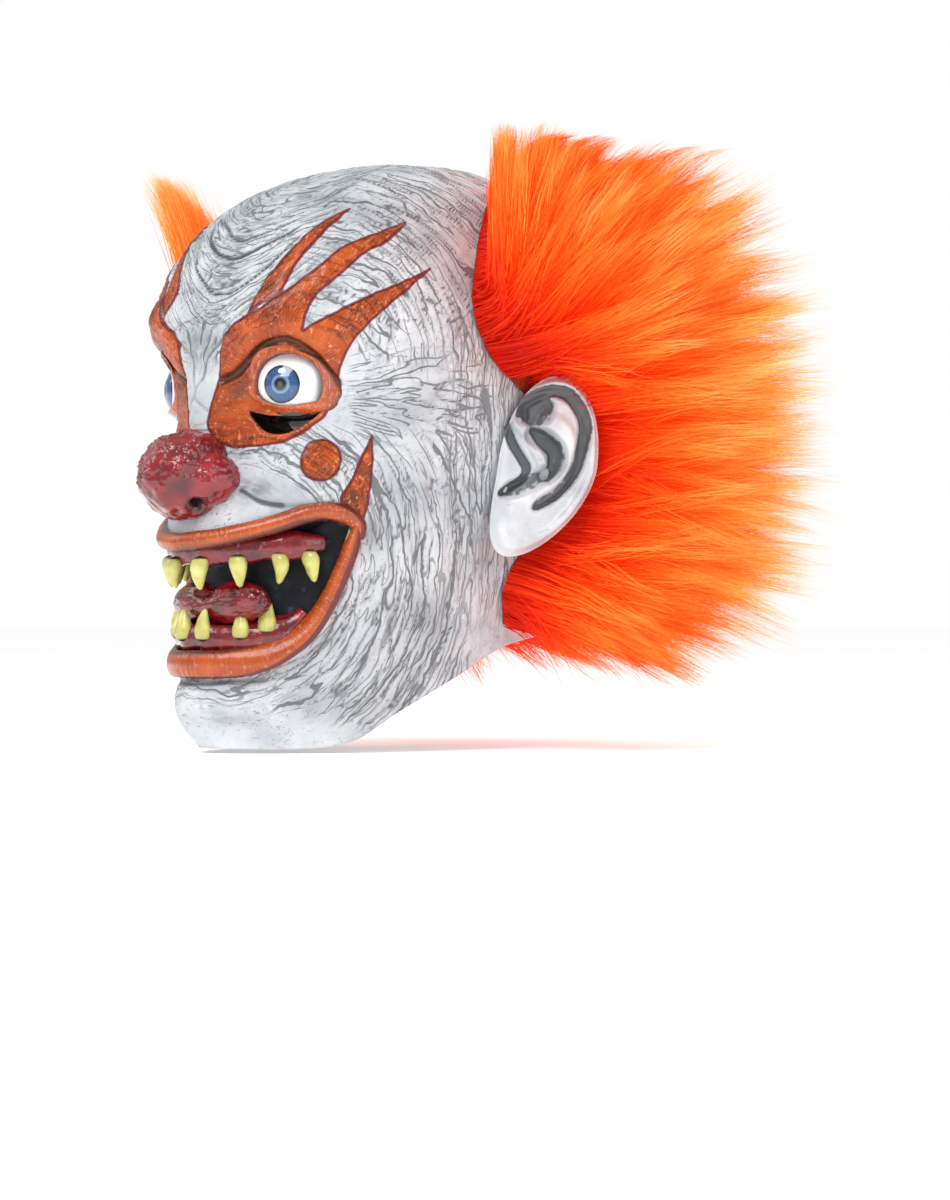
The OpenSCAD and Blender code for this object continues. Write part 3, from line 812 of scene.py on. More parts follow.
# Hollows and ridges of the ear's front: points (u back, v up, from -1 to 1), half width
# in mm, height in mm and how dark the wash in it is
EAR_LINES = [
    ([(-0.64, 0.53), (-0.6, 0.69), (-0.21, 0.82), (0.17, 0.8), (0.45, 0.67), (0.65, 0.46),
      (0.63, 0.19), (0.53, -0.08), (0.31, -0.3), (0.03, -0.42)], 3.4, -4.0, 0.95),
    ([(-0.46, 0.62), (-0.23, 0.66), (-0.22, 0.56), (-0.4, 0.54)], 5.0, -4.5, 0.9),
    ([(-0.35, 0.33), (-0.11, 0.27), (0.1, 0.17), (0.15, 0.02), (0.05, -0.08)], 4.6, -7.0, 1.0),
    ([(-0.94, 0.46), (-0.78, 0.26), (-0.58, 0.11), (-0.42, -0.03), (-0.48, -0.15), (-0.78, -0.29)],
     2.4, -3.5, 0.95),
    ([(-0.62, -0.26), (-0.38, -0.22), (-0.11, -0.11)], 4.5, -4.0, 0.6),
    ([(-0.7, 0.48), (-0.38, 0.24), (-0.1, -0.01)], 2.6, 2.6, -0.9),
    ([(-0.1, 0.5), (0.22, 0.38), (0.38, 0.1), (0.25, -0.2), (0.0, -0.35)], 4.5, 2.6, -0.3),
]


def ear_relief(u, v, q):
    """Height of the ear's front over its plate and the darkness of its wash."""
    flat = np.stack([u.ravel() * EAR_W / 2, v.ravel() * EAR_H / 2, 0 * u.ravel()], -1)
    behind = np.clip(smoothstep(-0.7, -0.2, u) + smoothstep(0.4, 0.8, v), 0, 1)
    height = 1.6 + 1.4 * behind + 2.2 * behind * bell((q - 0.86) / 0.1)
    dark = np.zeros(u.shape)
    for line, half_width, rise, wash in EAR_LINES:
        line = smooth_line(line) * np.array([EAR_W / 2, EAR_H / 2])
        gap = line_distance(flat, np.column_stack([line, 0 * line[:, 0]])).reshape(u.shape)
        share = 1 - smoothstep(0.45, 1.35, gap / half_width)
        height = height + rise * share
        dark = np.where(wash > 0, np.maximum(dark, wash * share), dark * (1 + wash * share))
    return height, dark


def build_ear(side, material):
    turns = np.linspace(0, 2 * math.pi, 220, endpoint=False)
    along = np.array([side * math.sin(EAR_SPLAY), math.cos(EAR_SPLAY), 0])
    out = np.array([side * math.cos(EAR_SPLAY), -math.sin(EAR_SPLAY), 0])
    lean = np.array([0, EAR_LEAN, 1])
    root = np.array([side * EAR_ROOT[0], EAR_ROOT[1], EAR_ROOT[2]])

    def place(u, v, depth):
        # The lower part of the ear draws in towards the cheek
        back = u - 0.55 * np.maximum(-v, 0) ** 1.7
        e0 = EAR_W / 2 * (1 + back)
        return root + np.outer(e0, along) + np.outer(EAR_H / 2 * v, lean) + np.outer(depth, out)

    rings = []
    darks = []
    for q in np.linspace(0.01, 1, 84):
        u, v = q * np.cos(turns), q * np.sin(turns)
        height, dark = ear_relief(u, v, q + 0 * u)
        height = height * (1 - 0.85 * smoothstep(0.9, 1.0, q))
        ripple = 0.35 * noise(np.stack([u * 5, v * 8, 0 * u + side], -1), 40)
        rings.append(place(u, v, height + ripple))
        darks.append(dark)
    for q in np.linspace(1, 0.02, 22):
        u, v = 0.985 * q * np.cos(turns), 0.985 * q * np.sin(turns)
        back = -3.0 - 3.5 * bell((q - 0.5) / 0.4)
        rings.append(place(u, v, back * smoothstep(1.05, 0.8, q) - 0.6 + 0 * u))
        darks.append(0 * turns)
    rings = np.array(rings)
    darks = np.array(darks)
    points, faces = capped_rings(rings if side < 0 else rings[:, ::-1])
    darks = darks if side < 0 else darks[:, ::-1]
    name = SIDE_NAMES[side]
    return make_piece(
        f"ear_{name}_cast", points, faces, material, [f"ear_{name}"],
        {"hollow": ring_values(darks)},
    )


def ear_material():
    p = Paint("ear_latex", Roughness=0.3, Specular_IOR_Level=0.5)
    place = p.place()
    hollow = p.value("hollow")
    ragged = p.math("ADD", hollow, p.step(p.noise(place, 240, 4, 0.7), 0.2, 0.8, -0.22, 0.22))
    white = p.ramp(p.noise(place, 60, 4), [(0.3, "AEB3B9"), (0.55, "CBCFD3"), (0.75, "DFE1E3")])
    specks = p.step(p.cells(place, 460), 0.0, 0.22, 1.0, 0.0)
    specks = p.times(specks, p.step(p.noise(place, 90, 1), 0.5, 0.58))
    dark = p.most(p.step(ragged, 0.3, 0.62, 0.0, 0.9), p.times(specks, 0.7))
    colour = p.mix(dark, white, srgb("42464A"))
    return p.finish(Base_Color=colour, Normal=p.bump(p.noise(place, 260, 3), 0.35))


# ---- Nose --------------------------------------------------------------------------

NOSE_Z = 129.0
NOSE_RADII = np.array([25.0, 26.0, 22.5])
PIMPLES = 900


def build_nose(material):
    tilt = np.linspace(-math.pi / 2 + 0.02, math.pi / 2 - 0.02, 130)
    turn = np.linspace(0, 2 * math.pi, 220, endpoint=False)
    t, s = np.meshgrid(tilt, turn, indexing="ij")
    d = np.stack([np.cos(t) * np.cos(s), np.cos(t) * np.sin(s), np.sin(t)], -1)
    # Directions of the left wing and nostril, mirrored to the right
    wing = unit(np.array([0.95, 0.1, -0.16]))
    hole = unit(np.array([0.62, -0.3, -0.66]))
    mirrored = np.stack([abs(d[..., 0]), d[..., 1], d[..., 2]], -1)
    wing_far = np.arccos(np.clip(mirrored @ wing, -1, 1))
    hole_far = np.arccos(np.clip(mirrored @ hole, -1, 1))
    front = np.arccos(np.clip(d @ unit(np.array([0, -0.95, -0.12])), -1, 1))
    swell = 3.6 * bell(wing_far / 0.42) + 1.6 * bell(front / 0.7)
    waist = -2.0 * bell((wing_far - 0.72) / 0.17)
    lumps = 1.3 * noise(d * 2.6, 50) + 0.6 * noise(d * 6, 51)
    pit = -6.0 * bell(hole_far / 0.13) + 1.0 * bell((hole_far - 0.27) / 0.1)
    rough = smoothstep(-0.55, 0.15, d[..., 2] + 0.25 * noise(d * 3, 52))
    pimples = np.zeros(t.shape)
    draws = np.random.default_rng(SEED + 2)
    for spot in unit(draws.normal(size=(PIMPLES, 3))):
        size = draws.uniform(0.025, 0.05)
        far2 = ((d - spot) ** 2).sum(-1)
        pimples = np.maximum(pimples, 17 * size * np.clip(1 - far2 / size ** 2, 0, 1))
    pimples = pimples * rough
    r = 1 + (swell + waist + lumps + pit + pimples * (1 - bell(hole_far / 0.3))) / NOSE_RADII[0]
    centre = np.array([0, float(face_y(0, NOSE_Z)) - 3, NOSE_Z])
    rings = centre + d * r[..., None] * NOSE_RADII * 0.955
    points, faces = capped_rings(rings)
    # Painted shade in the nostrils and in the crease round each wing
    hollow = np.clip(bell(hole_far / 0.17) + 0.5 * bell((wing_far - 0.85) / 0.12), 0, 1)
    return make_piece(
        "ball_nose", points, faces, material, ["nose"],
        {"hollow": ring_values(hollow), "pimple": ring_values(pimples)},
    )


def nose_material():
    p = Paint("nose_latex", Roughness=0.2, Coat_Weight=0.7, Coat_Roughness=0.08)
    place = p.place()
    red = p.ramp(p.noise(place, 75, 4, 0.6), [(0.3, "5A0810"), (0.5, "860D15"), (0.72, "A51822")])
    scuff = p.step(p.noise(place, 170, 4, 0.7), 0.62, 0.7, 0.0, 0.25)
    colour = p.mix(scuff, red, srgb("5A4A50"))
    # The pimples' tops, on the nose's upper half, are painted a lighter pink as painted highlight
    colour = p.mix(p.step(p.value("pimple"), 0.35, 0.8, 0.0, 0.4), colour, srgb("C86A74"))
    # The nostrils and wing creases are painted near black as painted shade
    colour = p.mix(p.value("hollow"), colour, srgb("1A0407"))
    return p.finish(Base_Color=colour, Normal=p.bump(p.noise(place, 700, 2), 0.25))


# ---- Eyes and lids -----------------------------------------------------------------

# The left eye's opening: its middle, half width and its height above and below that
EYE_X = 44.0
EYE_Z = 170.0
EYE_HALF_W = 13.2
EYE_TOP_H = 15.8
EYE_LOW_H = 8.2
# The left eyeball: its radius and middle, how far it looks to the side, and its iris
BALL_R = 23.0
BALL = np.array([32.2, -78.9, 172.0])
GAZE_TURN = math.radians(30)
IRIS_R = 8.8


def build_eye(side, material):
    gaze = unit(np.array([math.sin(GAZE_TURN), -math.cos(GAZE_TURN), -0.02]))
    right = unit(np.cross(gaze, [0, 0, 1]))
    up = np.cross(right, gaze)
    swing = np.linspace(0.01, 1.5, 90)
    turn = np.linspace(0, 2 * math.pi, 96, endpoint=False)
    w, t = np.meshgrid(swing, turn, indexing="ij")
    far = w * BALL_R
    cornea = 0.9 * smoothstep(IRIS_R + 1.5, 2, far)
    r = BALL_R + cornea
    flat = np.cos(t)[..., None] * right + np.sin(t)[..., None] * up
    rings = BALL + r[..., None] * (np.cos(w)[..., None] * gaze + np.sin(w)[..., None] * flat)
    rings = rings * np.array([side, 1, 1])
    points, faces = capped_rings(rings[:, ::-1] if side > 0 else rings)
    order = slice(None, None, -1) if side > 0 else slice(None)
    iris = np.stack([far, np.cos(t) * far, np.sin(t) * far], -1)[:, order]
    ends = [iris[0].mean(0), iris[-1].mean(0)]
    name = SIDE_NAMES[side]
    return make_piece(
        f"eyeball_{name}", points, faces, material, [f"eye_{name}"],
        vectors={"iris": np.concatenate([iris.reshape(-1, 3), ends])},
    )


def eye_material():
    p = Paint("painted_eye", Roughness=0.12, Coat_Weight=1.0, Coat_Roughness=0.03)
    far, x, z = p.add("SeparateXYZ", {0: p.vector("iris")}).outputs
    rays = p.joined(p.times(p.math("ARCTAN2", z, x), 9.0), p.times(far, 0.25))
    fibre = p.noise(rays, 1.6, 3, 0.6)
    place = p.place()
    white = p.mix(p.step(far, 14, 21), srgb("EDEFF0"), srgb("9CA3AA"))
    white = p.mix(p.step(p.noise(place, 120, 3), 0.5, 0.75, 0.0, 0.25), white, srgb("B9BEC6"))
    blue = p.ramp(fibre, [(0.3, "143A68"), (0.55, "225488"), (0.75, "3E78AE")])
    blue = p.mix(p.step(far, 7.2, 8.6), blue, srgb("143250"))
    ring = p.step(p.far_from(far, 3.8), 0.3, 0.9, 0.6, 0.0)
    blue = p.mix(ring, blue, srgb("8FA9BC"))
    pupil = p.mix(p.step(far, 0.6, 1.6), srgb("5A5450"), srgb("0A0B0D"))
    blue = p.mix(p.step(far, 2.9, 2.4), blue, pupil)
    rim = p.step(p.far_from(far, IRIS_R), 0.25, 0.55, 1.0, 0.0)
    colour = p.mix(p.step(far, IRIS_R + 0.1, IRIS_R - 0.1), white, blue)
    colour = p.mix(rim, colour, srgb("10151B"))
    # A painted glint over the pupil
    up = p.math("POWER", p.math("SUBTRACT", z, 6.3), 2.0)
    over = p.math("POWER", p.times(p.math("ADD", x, 0.3), 0.75), 2.0)
    glint = p.step(p.math("SQRT", p.math("ADD", up, over)), 1.5, 1.1)
    colour = p.mix(glint, colour, srgb("FBFCFC"))
    # The ball's foot, behind the vision slit, is painted near black as painted shade
    colour = p.mix(p.step(z, -11.6, -12.8), colour, srgb("0B0B0C"))
    return p.finish(Base_Color=colour, Normal=p.bump(p.noise(place, 90, 2), 0.05))


def eye_opening(t):
    """Edge of the left eye's opening by angle, in X and Z, and 0 below to 1 above."""
    upper = smoothstep(-0.25, 0.25, np.sin(t))
    half_h = EYE_LOW_H + (EYE_TOP_H - EYE_LOW_H) * upper
    lift = np.sign(np.sin(t)) * abs(np.sin(t)) ** 0.95
    return EYE_X + EYE_HALF_W * np.cos(t), EYE_Z - 0.6 * np.cos(t) + half_h * lift, upper


def eye_outline(side):
    """Edge of the skin round the eye, which the lids cover."""
    x, z, _ = eye_opening(np.linspace(0, 2 * math.pi, 90, endpoint=False))
    return np.stack([side * (EYE_X + (x - EYE_X) * 1.09), EYE_Z + (z - EYE_Z) * 1.09], -1)


def ball_y(x, z):
    """Y of the front of the left eyeball, or of a ring near its rim beyond that."""
    r2 = BALL_R ** 2 - (x - BALL[0]) ** 2 - (z - BALL[2]) ** 2
    return BALL[1] - np.sqrt(np.maximum(r2, 16.0))


# A lid's cross-section: share of its width, depth in mm and how far it follows the skin
LID_PROFILE = [
    (-0.05, 2.0, 0), (0.0, 0.4, 0), (0.0, -1.0, 0), (0.04, -1.9, 0), (0.16, -2.6, 0.15),
    (0.34, -2.9, 0.35), (0.55, -2.6, 0.6), (0.78, -1.8, 0.85), (0.95, -0.6, 1), (1.05, 1.2, 1),
    (1.0, 3.6, 1), (0.6, 4.5, 0.6),
]


def build_lids(side, material):
    """A rim round the almond opening: up off the eyeball, over, and down into the skin."""
    t = np.linspace(0, 2 * math.pi, 140, endpoint=False)
    sin, cos = np.sin(t), np.cos(t)
    x_in, z_in, upper = eye_opening(t)
    width = (3.7 + 0.9 * (1 - upper)) * (1 - 0.45 * smoothstep(0.6, 1.0, cos))
    direction = unit(np.stack([0.75 * cos, 0 * t, sin], -1))
    y_in = ball_y(x_in, z_in)
    rings = []
    across = []
    for share, depth, on_skin in LID_PROFILE:
        x = x_in + direction[:, 0] * width * share
        z = z_in + direction[:, 2] * width * share
        y = y_in * (1 - on_skin) + face_y(x, z) * on_skin + depth
        ripple = 0.25 * noise(np.stack([x / 3, z / 3, 0 * x + share], -1), 60) * (depth < 0)
        rings.append(np.stack([side * x, y + ripple, z], -1))
        across.append(np.full(len(t), share))
    rings = np.array(rings)
    if side < 0:
        rings = rings[:, ::-1]
    rows, cols = rings.shape[:2]
    points = rings.reshape(-1, 3)
    faces = grid_faces(rows, cols)
    seam = np.arange(cols)
    last = (rows - 1) * cols + seam
    close = np.stack([last, np.roll(last, -1), np.roll(seam, -1), seam], -1)
    name = SIDE_NAMES[side]
    lid = make_piece(
        f"lids_{name}", points, flipped([faces, close]), material, [f"eyelids_{name}"],
        {"across": np.array(across).ravel()}, {"flow": points[:, [2, 0, 1]]},
    )
    soften(lid, 1)
    return lid


def soften(piece, levels):
    """Subdivision surface, applied when the scene is evaluated."""
    modifier = piece.modifiers.new("round", "SUBSURF")
    modifier.levels = levels
    modifier.render_levels = levels


def lid_material():
    p = Paint("lid_paint", Roughness=0.2, Coat_Weight=0.6, Coat_Roughness=0.1)
    across = p.value("across")
    orange, grain = orange_paint(p, p.vector("flow"))
    # Painted shade: a dark line where the lid meets the eyeball, and another where it dips into the
    # skin
    colour = p.mix(p.step(across, 0.14, 0.0, 0.0, 0.85), orange, srgb("4A1A0C"))
    colour = p.mix(p.step(across, 0.8, 0.98, 0.0, 0.85), colour, srgb("48200F"))
    return p.finish(Base_Color=colour, Normal=p.bump(grain, 0.18))


# ---- Mouth -------------------------------------------------------------------------

LIP_R = 61.0
# The upper lip's left half in X and Z. Its end hooks down over that of the lower lip
UPPER_LIP = [(0, 97.5), (20, 99.6), (38, 105), (50, 111), (57, 111.5), (61, 106.5), (60.5, 99)]


def sweep(path, wide, deep, sides, shape):
    """Rings of a tube along a path: wide lies across the face, deep stands out of it, and
    shape scales the radius of each point."""
    ahead = unit(np.gradient(path, axis=0))
    out = unit(np.cross(ahead, [0, -1, 0]))
    front = np.cross(out, ahead)
    angle = np.linspace(0, 2 * math.pi, sides, endpoint=False)
    return (
        path[:, None]
        + (shape * np.outer(wide / 2, np.cos(angle)))[..., None] * out[:, None]
        + (shape * np.outer(deep / 2, np.sin(angle)))[..., None] * front[:, None]
    )


def build_lip(is_low, material):
    if is_low:
        s = np.sin(np.linspace(-math.pi / 2, math.pi / 2, 240))
        x, z = LIP_R * s, 40 + 66 * abs(s) ** 4.6
    else:
        half_x, half_z = smooth_line(UPPER_LIP, 20).T
        x = np.concatenate([-half_x[::-1], half_x[1:]])
        z = np.concatenate([half_z[::-1], half_z[1:]])
    path = np.stack([x, face_y(x, z) - 1, z], -1)
    along = np.concatenate([[0], np.cumsum(np.linalg.norm(np.diff(path, axis=0), axis=1))])
    full = smoothstep(0, 14, np.minimum(along, along[-1] - along))
    wide = (13 if is_low else 9) * (0.55 + 0.45 * full)
    if is_low:
        wide = wide * (1 - 0.3 * smoothstep(42, 57, abs(x)) + 0.1 * bell((abs(x) - 30) / 12))
    deep = 8 * (0.65 + 0.35 * full)
    sides = 28
    angle = np.linspace(0, 2 * math.pi, sides, endpoint=False)
    rib_at = np.stack([along / 1.9, 0 * along, 0 * along + is_low], -1)
    ribs = noise(rib_at, 70)[:, None] * (0.5 + 0.5 * np.sin(angle))[None] * 0.07
    lumps = noise(np.stack([along / 9, 0 * along, 0 * along + 3 + is_low], -1), 71)[:, None] * 0.05
    rings = sweep(path, wide, deep, sides, 1 + ribs + lumps)
    points, faces = capped_rings(rings)
    middle = rings.mean(1)
    # The tube's first side faces out of the mouth or into it
    is_up = (rings[:, 0] - middle)[:, 2].mean() > 0
    outward = np.cos(angle) * (1 if is_up else -1) * (-1 if is_low else 1)
    edge = outward[None] + 0 * along[:, None]
    flow = np.stack([edge * 5, np.repeat(along[:, None], sides, 1), 0 * edge], -1)
    flow = np.concatenate([flow.reshape(-1, 3), flow[0].mean(0)[None], flow[-1].mean(0)[None]])
    name = ROW_NAMES[is_low]
    return make_piece(
        f"lip_{name}_cast", points, flipped(faces), material, [f"lip_{name}"],
        {"outward": ring_values(edge)}, {"flow": flow},
    )


def lip_material():
    p = Paint("lip_paint", Roughness=0.26, Coat_Weight=0.4, Coat_Roughness=0.12)
    place = p.place()
    flow = p.vector("flow")
    outward = p.value("outward")
    ribs = p.noise(p.stretch(flow, (0.06, 0.8, 1)), 1.0, 3, 0.6)
    base = p.ramp(p.noise(place, 60, 3), [(0.3, "8E360C"), (0.52, "B2480F"), (0.75, "C95C1A")])
    fleck = p.noise(place, 420, 3, 0.7)
    base = p.mix(p.step(ribs, 0.55, 0.7, 0.0, 0.35), base, srgb("DC8650"))
    base = p.mix(p.step(ribs, 0.44, 0.3, 0.0, 0.45), base, srgb("7A3210"))
    base = p.mix(p.step(fleck, 0.58, 0.7, 0.0, 0.5), base, srgb("EFA67A"))
    inner = p.step(outward, -0.5, -0.85, 0.0, 0.85)
    base = p.mix(inner, base, srgb("3A150C"))
    colour = p.mix(p.step(outward, 0.8, 0.92, 0.0, 0.95), base, srgb("5E1012"))
    return p.finish(Base_Color=colour, Normal=p.bump(ribs, 0.6))


PAN_DEPTH = 14.0
PAN_LAP = 3.0
PAN_Z = 76.0


def build_pan(material):
    turn = np.linspace(0, 2 * math.pi, 120, endpoint=False)

    def ring(q, depth):
        x = MOUTH_R * np.cos(turn)
        z = np.where(np.sin(turn) > 0, mouth_top(x) + PAN_LAP, mouth_low(x) - PAN_LAP)
        px = q * (MOUTH_R + PAN_LAP) * np.cos(turn)
        pz = PAN_Z + q * (z - PAN_Z)
        y = face_y(px, pz) + SKIN_T + 1 + PAN_DEPTH * (1 - q ** 4) + depth
        y = y + 0.9 * noise(np.stack([px / 9, pz / 9, 0 * px + 2], -1), 80)
        return np.stack([px, y, pz], -1)

    shares = np.linspace(0.03, 1, 36)
    rings = np.array([ring(q, 0) for q in shares] + [ring(q, 2) for q in shares[::-4]])
    points, faces = capped_rings(rings)
    return make_piece(
        "mouth_liner", points, flipped(faces), material, ["mouth_pan"]
    )


def pan_material():
    p = Paint("mouth_liner_paint", Roughness=0.5, Specular_IOR_Level=0.22)
    place = p.place()
    colour = p.ramp(p.noise(place, 55, 4, 0.65), [(0.32, "050609"), (0.55, "12151E"), (0.75, "262C3C")])
    colour = p.mix(p.step(p.noise(place, 160, 3), 0.58, 0.68, 0.0, 0.5), colour, srgb("4A5468"))
    return p.finish(Base_Color=colour, Normal=p.bump(p.noise(place, 120, 3), 0.8))


# Places of the teeth on either side of the middle, and a tooth's size
UPPER_TEETH = (10, 25.5, 39, 47.5)
LOWER_TEETH = (7.5, 23.5, 32.5)
TOOTH_L = 15.4
TOOTH_R = 4.5
GUM_TOP_LIFT = 4.0


def tooth_root(x, is_low):
    """Height of the roots of the teeth in the lower or the upper row."""
    return mouth_low(x) + 5 if is_low else 89.5 + 5 * (x / MOUTH_R) ** 2


def build_gum(is_low, material):
    reach = 42 if is_low else 50
    x = np.linspace(-reach, reach, 200)
    z = tooth_root(x, is_low) + (0 if is_low else GUM_TOP_LIFT)
    path = np.stack([x, face_y(x, z) + 7, z], -1)
    teeth = LOWER_TEETH if is_low else UPPER_TEETH
    scallop = sum(bell((abs(x) - at) / 4.2) for at in teeth)
    ends = reach - abs(x)
    taper = 0.5 + 0.5 * smoothstep(0, 8, ends)
    wide = (12.5 + 2.4 * scallop) * taper
    deep = (7 + 2.4 * scallop) * taper
    lumps = noise(np.stack([x / 6, 0 * x, 0 * x + is_low], -1), 90)[:, None] * 0.08
    rings = sweep(path, wide, deep, 24, 1 + lumps + np.zeros((1, 24)))
    points, faces = capped_rings(rings)
    name = ROW_NAMES[is_low]
    return make_piece(
        f"gum_{name}_cast", points, flipped(faces), material, [f"gum_{name}"]
    )


def gum_material():
    p = Paint("gum_paint", Roughness=0.18, Coat_Weight=0.7, Coat_Roughness=0.08)
    place = p.place()
    colour = p.ramp(p.noise(place, 90, 4, 0.6), [(0.3, "43070D"), (0.52, "7A0E18"), (0.75, "A2242E")])
    colour = p.mix(p.step(p.noise(place, 210, 3), 0.64, 0.72, 0.0, 0.45), colour, srgb("C8707A"))
    return p.finish(Base_Color=colour, Normal=p.bump(p.noise(place, 260, 3), 0.6))


TONGUE_Z = 69.5


def build_tongue(material):
    tilt = np.linspace(-1.55, 1.55, 60)
    turn = np.linspace(0, 2 * math.pi, 110, endpoint=False)
    t, s = np.meshgrid(tilt, turn, indexing="ij")
    d = np.stack([np.cos(t) * np.cos(s), np.cos(t) * np.sin(s), np.sin(t)], -1)
    groove = 1 - 0.32 * bell(d[..., 0] / 0.22) * smoothstep(-0.2, 0.6, d[..., 2])
    bumps = 0.05 * noise(d * 3, 95) + 0.03 * noise(d * 11, 96)
    centre = np.array([5, float(face_y(0, TONGUE_Z)) + PAN_DEPTH + 6, TONGUE_Z])
    rings = centre + d * (groove + bumps)[..., None] * np.array([34, 11.5, 11.5])
    points, faces = capped_rings(rings)
    return make_piece("tongue_cast", points, faces, material, ["tongue"])


def build_teeth(is_low, material):
    """Each tooth: a rounded root, wide shoulders, then a taper to a blunt point."""
    draws = np.random.default_rng(SEED + 3 + is_low)
    share = np.linspace(0, 1, 26)
    body = np.interp(share, [0, 0.05, 0.12, 0.25, 0.4, 0.7, 0.9, 0.97, 1],
                     [0.35, 0.75, 0.98, 1.1, 1.05, 0.72, 0.42, 0.26, 0.06])
    turn = np.linspace(0, 2 * math.pi, 28, endpoint=False)
    all_points, all_faces, shares = [], [], []
    start = 0
    for side, at in itertools.product((1, -1), LOWER_TEETH if is_low else UPPER_TEETH):
        x = side * at
        z = tooth_root(x, is_low)
        length = TOOTH_L * draws.uniform(0.94, 1.04)
        lean = draws.normal(0, 0.07)
        bend = draws.normal(0, 0.9)
        radius = TOOTH_R * draws.uniform(0.93, 1.05)
        rise = (share - 0.08) * length * (1 if is_low else -1)
        mid_x = x + lean * (share * length) + bend * np.sin(share * 3)
        mid_y = face_y(x, z) + 3 + 0.8 * share
        r = np.outer(body, np.ones(len(turn))) * radius
        around = [3 * np.outer(share, np.cos(turn)), 3 * np.outer(share, np.sin(turn))]
        r = r * (1 + 0.05 * noise(np.stack([*around, np.full(r.shape, at)], -1), 100))
        rings = np.stack([
            mid_x[:, None] + r * np.cos(turn),
            mid_y[:, None] + 0.78 * r * np.sin(turn),
            (z + rise)[:, None] + 0 * r,
        ], -1)
        points, faces = capped_rings(rings)
        flip = slice(None) if is_low else slice(None, None, -1)
        all_points.append(points)
        all_faces += [f[:, flip] + start for f in faces]
        shares.append(ring_values(np.repeat(share[:, None], len(turn), 1)))
        start += len(points)
    name = ROW_NAMES[is_low]
    return make_piece(
        f"teeth_{name}_cast", np.concatenate(all_points), all_faces, material,
        [f"teeth_{name}"], {"share": np.concatenate(shares)},
    )


def tooth_material():
    p = Paint("tooth_paint", Roughness=0.3, Coat_Weight=0.3, Coat_Roughness=0.15)
    place = p.place()
    share = p.value("share")
    colour = p.ramp(p.noise(place, 140, 3), [(0.3, "B8B45A"), (0.6, "D6D37A"), (0.8, "E6E49C")])
    streak = p.noise(p.stretch(place, (1, 1, 0.25)), 420, 3)
    colour = p.mix(p.step(streak, 0.55, 0.75, 0.0, 0.6), colour, srgb("A9A45C"))
    colour = p.mix(p.step(share, 0.5, 0.1, 0.0, 0.35), colour, srgb("8E8A4A"))
    colour = p.mix(p.step(share, 0.1, 0.04, 0.0, 0.95), colour, srgb("14120E"))
    return p.finish(Base_Color=colour, Normal=p.bump(streak, 0.3))


# ---- Fur ---------------------------------------------------------------------------

# Height, front edge angle, rise in degrees and share of the full length, as in the CAD
FUR = np.array([
    [58, 83, -12, 0.62], [80, 81, -7, 0.86], [100, 92, -3, 1], [130, 100, 3, 1], [160, 97, 9, 1],
    [178, 76, 13, 1], [205, 65, 22, 0.95], [232, 67, 29, 0.82], [256, 76, 36, 0.52],
    [272, 95, 48, 0.30],
])
FUR_LOW = 59.0
FUR_HIGH = 271.0
FUR_SEAM = 152.0
FUR_BASE = 1.6
PILE = 126.0


def flat_side(a, z):
    """The right side lies flatter: 0 on the left, 1 on the right and high up."""
    round_part = np.sin(np.pi / 2 * np.clip((a - 140) / 60, 0, 1)) ** 2
    high_part = np.sin(np.pi / 2 * np.clip((z - 215) / 25, 0, 1)) ** 2
    return round_part * high_part


def fur_reach(a, z):
    """The vector from a root to its tip in the combed pile; a is 0 to 360."""
    flat = flat_side(a, z)
    rise = np.radians(curve(FUR, 2, z) * (1 - 0.85 * flat))
    turn = np.minimum(a, 360 - a)
    combed = np.radians(180 - 0.8 * (180 - turn))
    side = np.where(a < 180, 1, -1)
    spread_out = 0.8 + 0.2 * np.sin(np.radians(np.clip((turn - 80) * 1.5, 0, 90))) ** 2
    length = PILE * curve(FUR, 3, z) * spread_out * (1 - 0.35 * flat)
    way = [side * np.sin(combed) * np.cos(rise), -np.cos(combed) * np.cos(rise), np.sin(rise)]
    return length[..., None] * np.stack(way, -1)


# Tip of the tuft that stands out over each temple
TUFT_TIPS = {"left": (126, -22, 292), "right": (-165, -8, 297)}
TUFT_LOCKS = 44
# Pieces of pile on each side, locks in a piece, strands in a lock, points along a strand
PIECES = {"left": 6, "right": 5, "back": 4}
LOCKS = 160
STRANDS = 62
RINGS = 11
LOCK_RADIUS = 6.0
# Width of a strand at its root, from the finest to the coarsest
STRAND_W = (0.42, 0.72)
# Tips stay below, above and in front of these, but for a soft overrun
TOP_Z = 286.0
LOW_Z = 16.0
BACK_Y = 231.0
OVERRUN = 9.0


def crosses_ear(line):
    """Whether each strand passes in front of an ear, which the hair lies behind."""
    x = abs(line[..., 0]) - EAR_ROOT[0]
    y = line[..., 1] - EAR_ROOT[1]
    back = x * math.sin(EAR_SPLAY) + y * math.cos(EAR_SPLAY)
    out = x * math.cos(EAR_SPLAY) - y * math.sin(EAR_SPLAY)
    u = 2 * back / EAR_W - 1
    v = 2 * (line[..., 2] - EAR_ROOT[2]) / EAR_H
    return ((np.hypot(u, v) < 1.05) & (out > -2)).any(1)


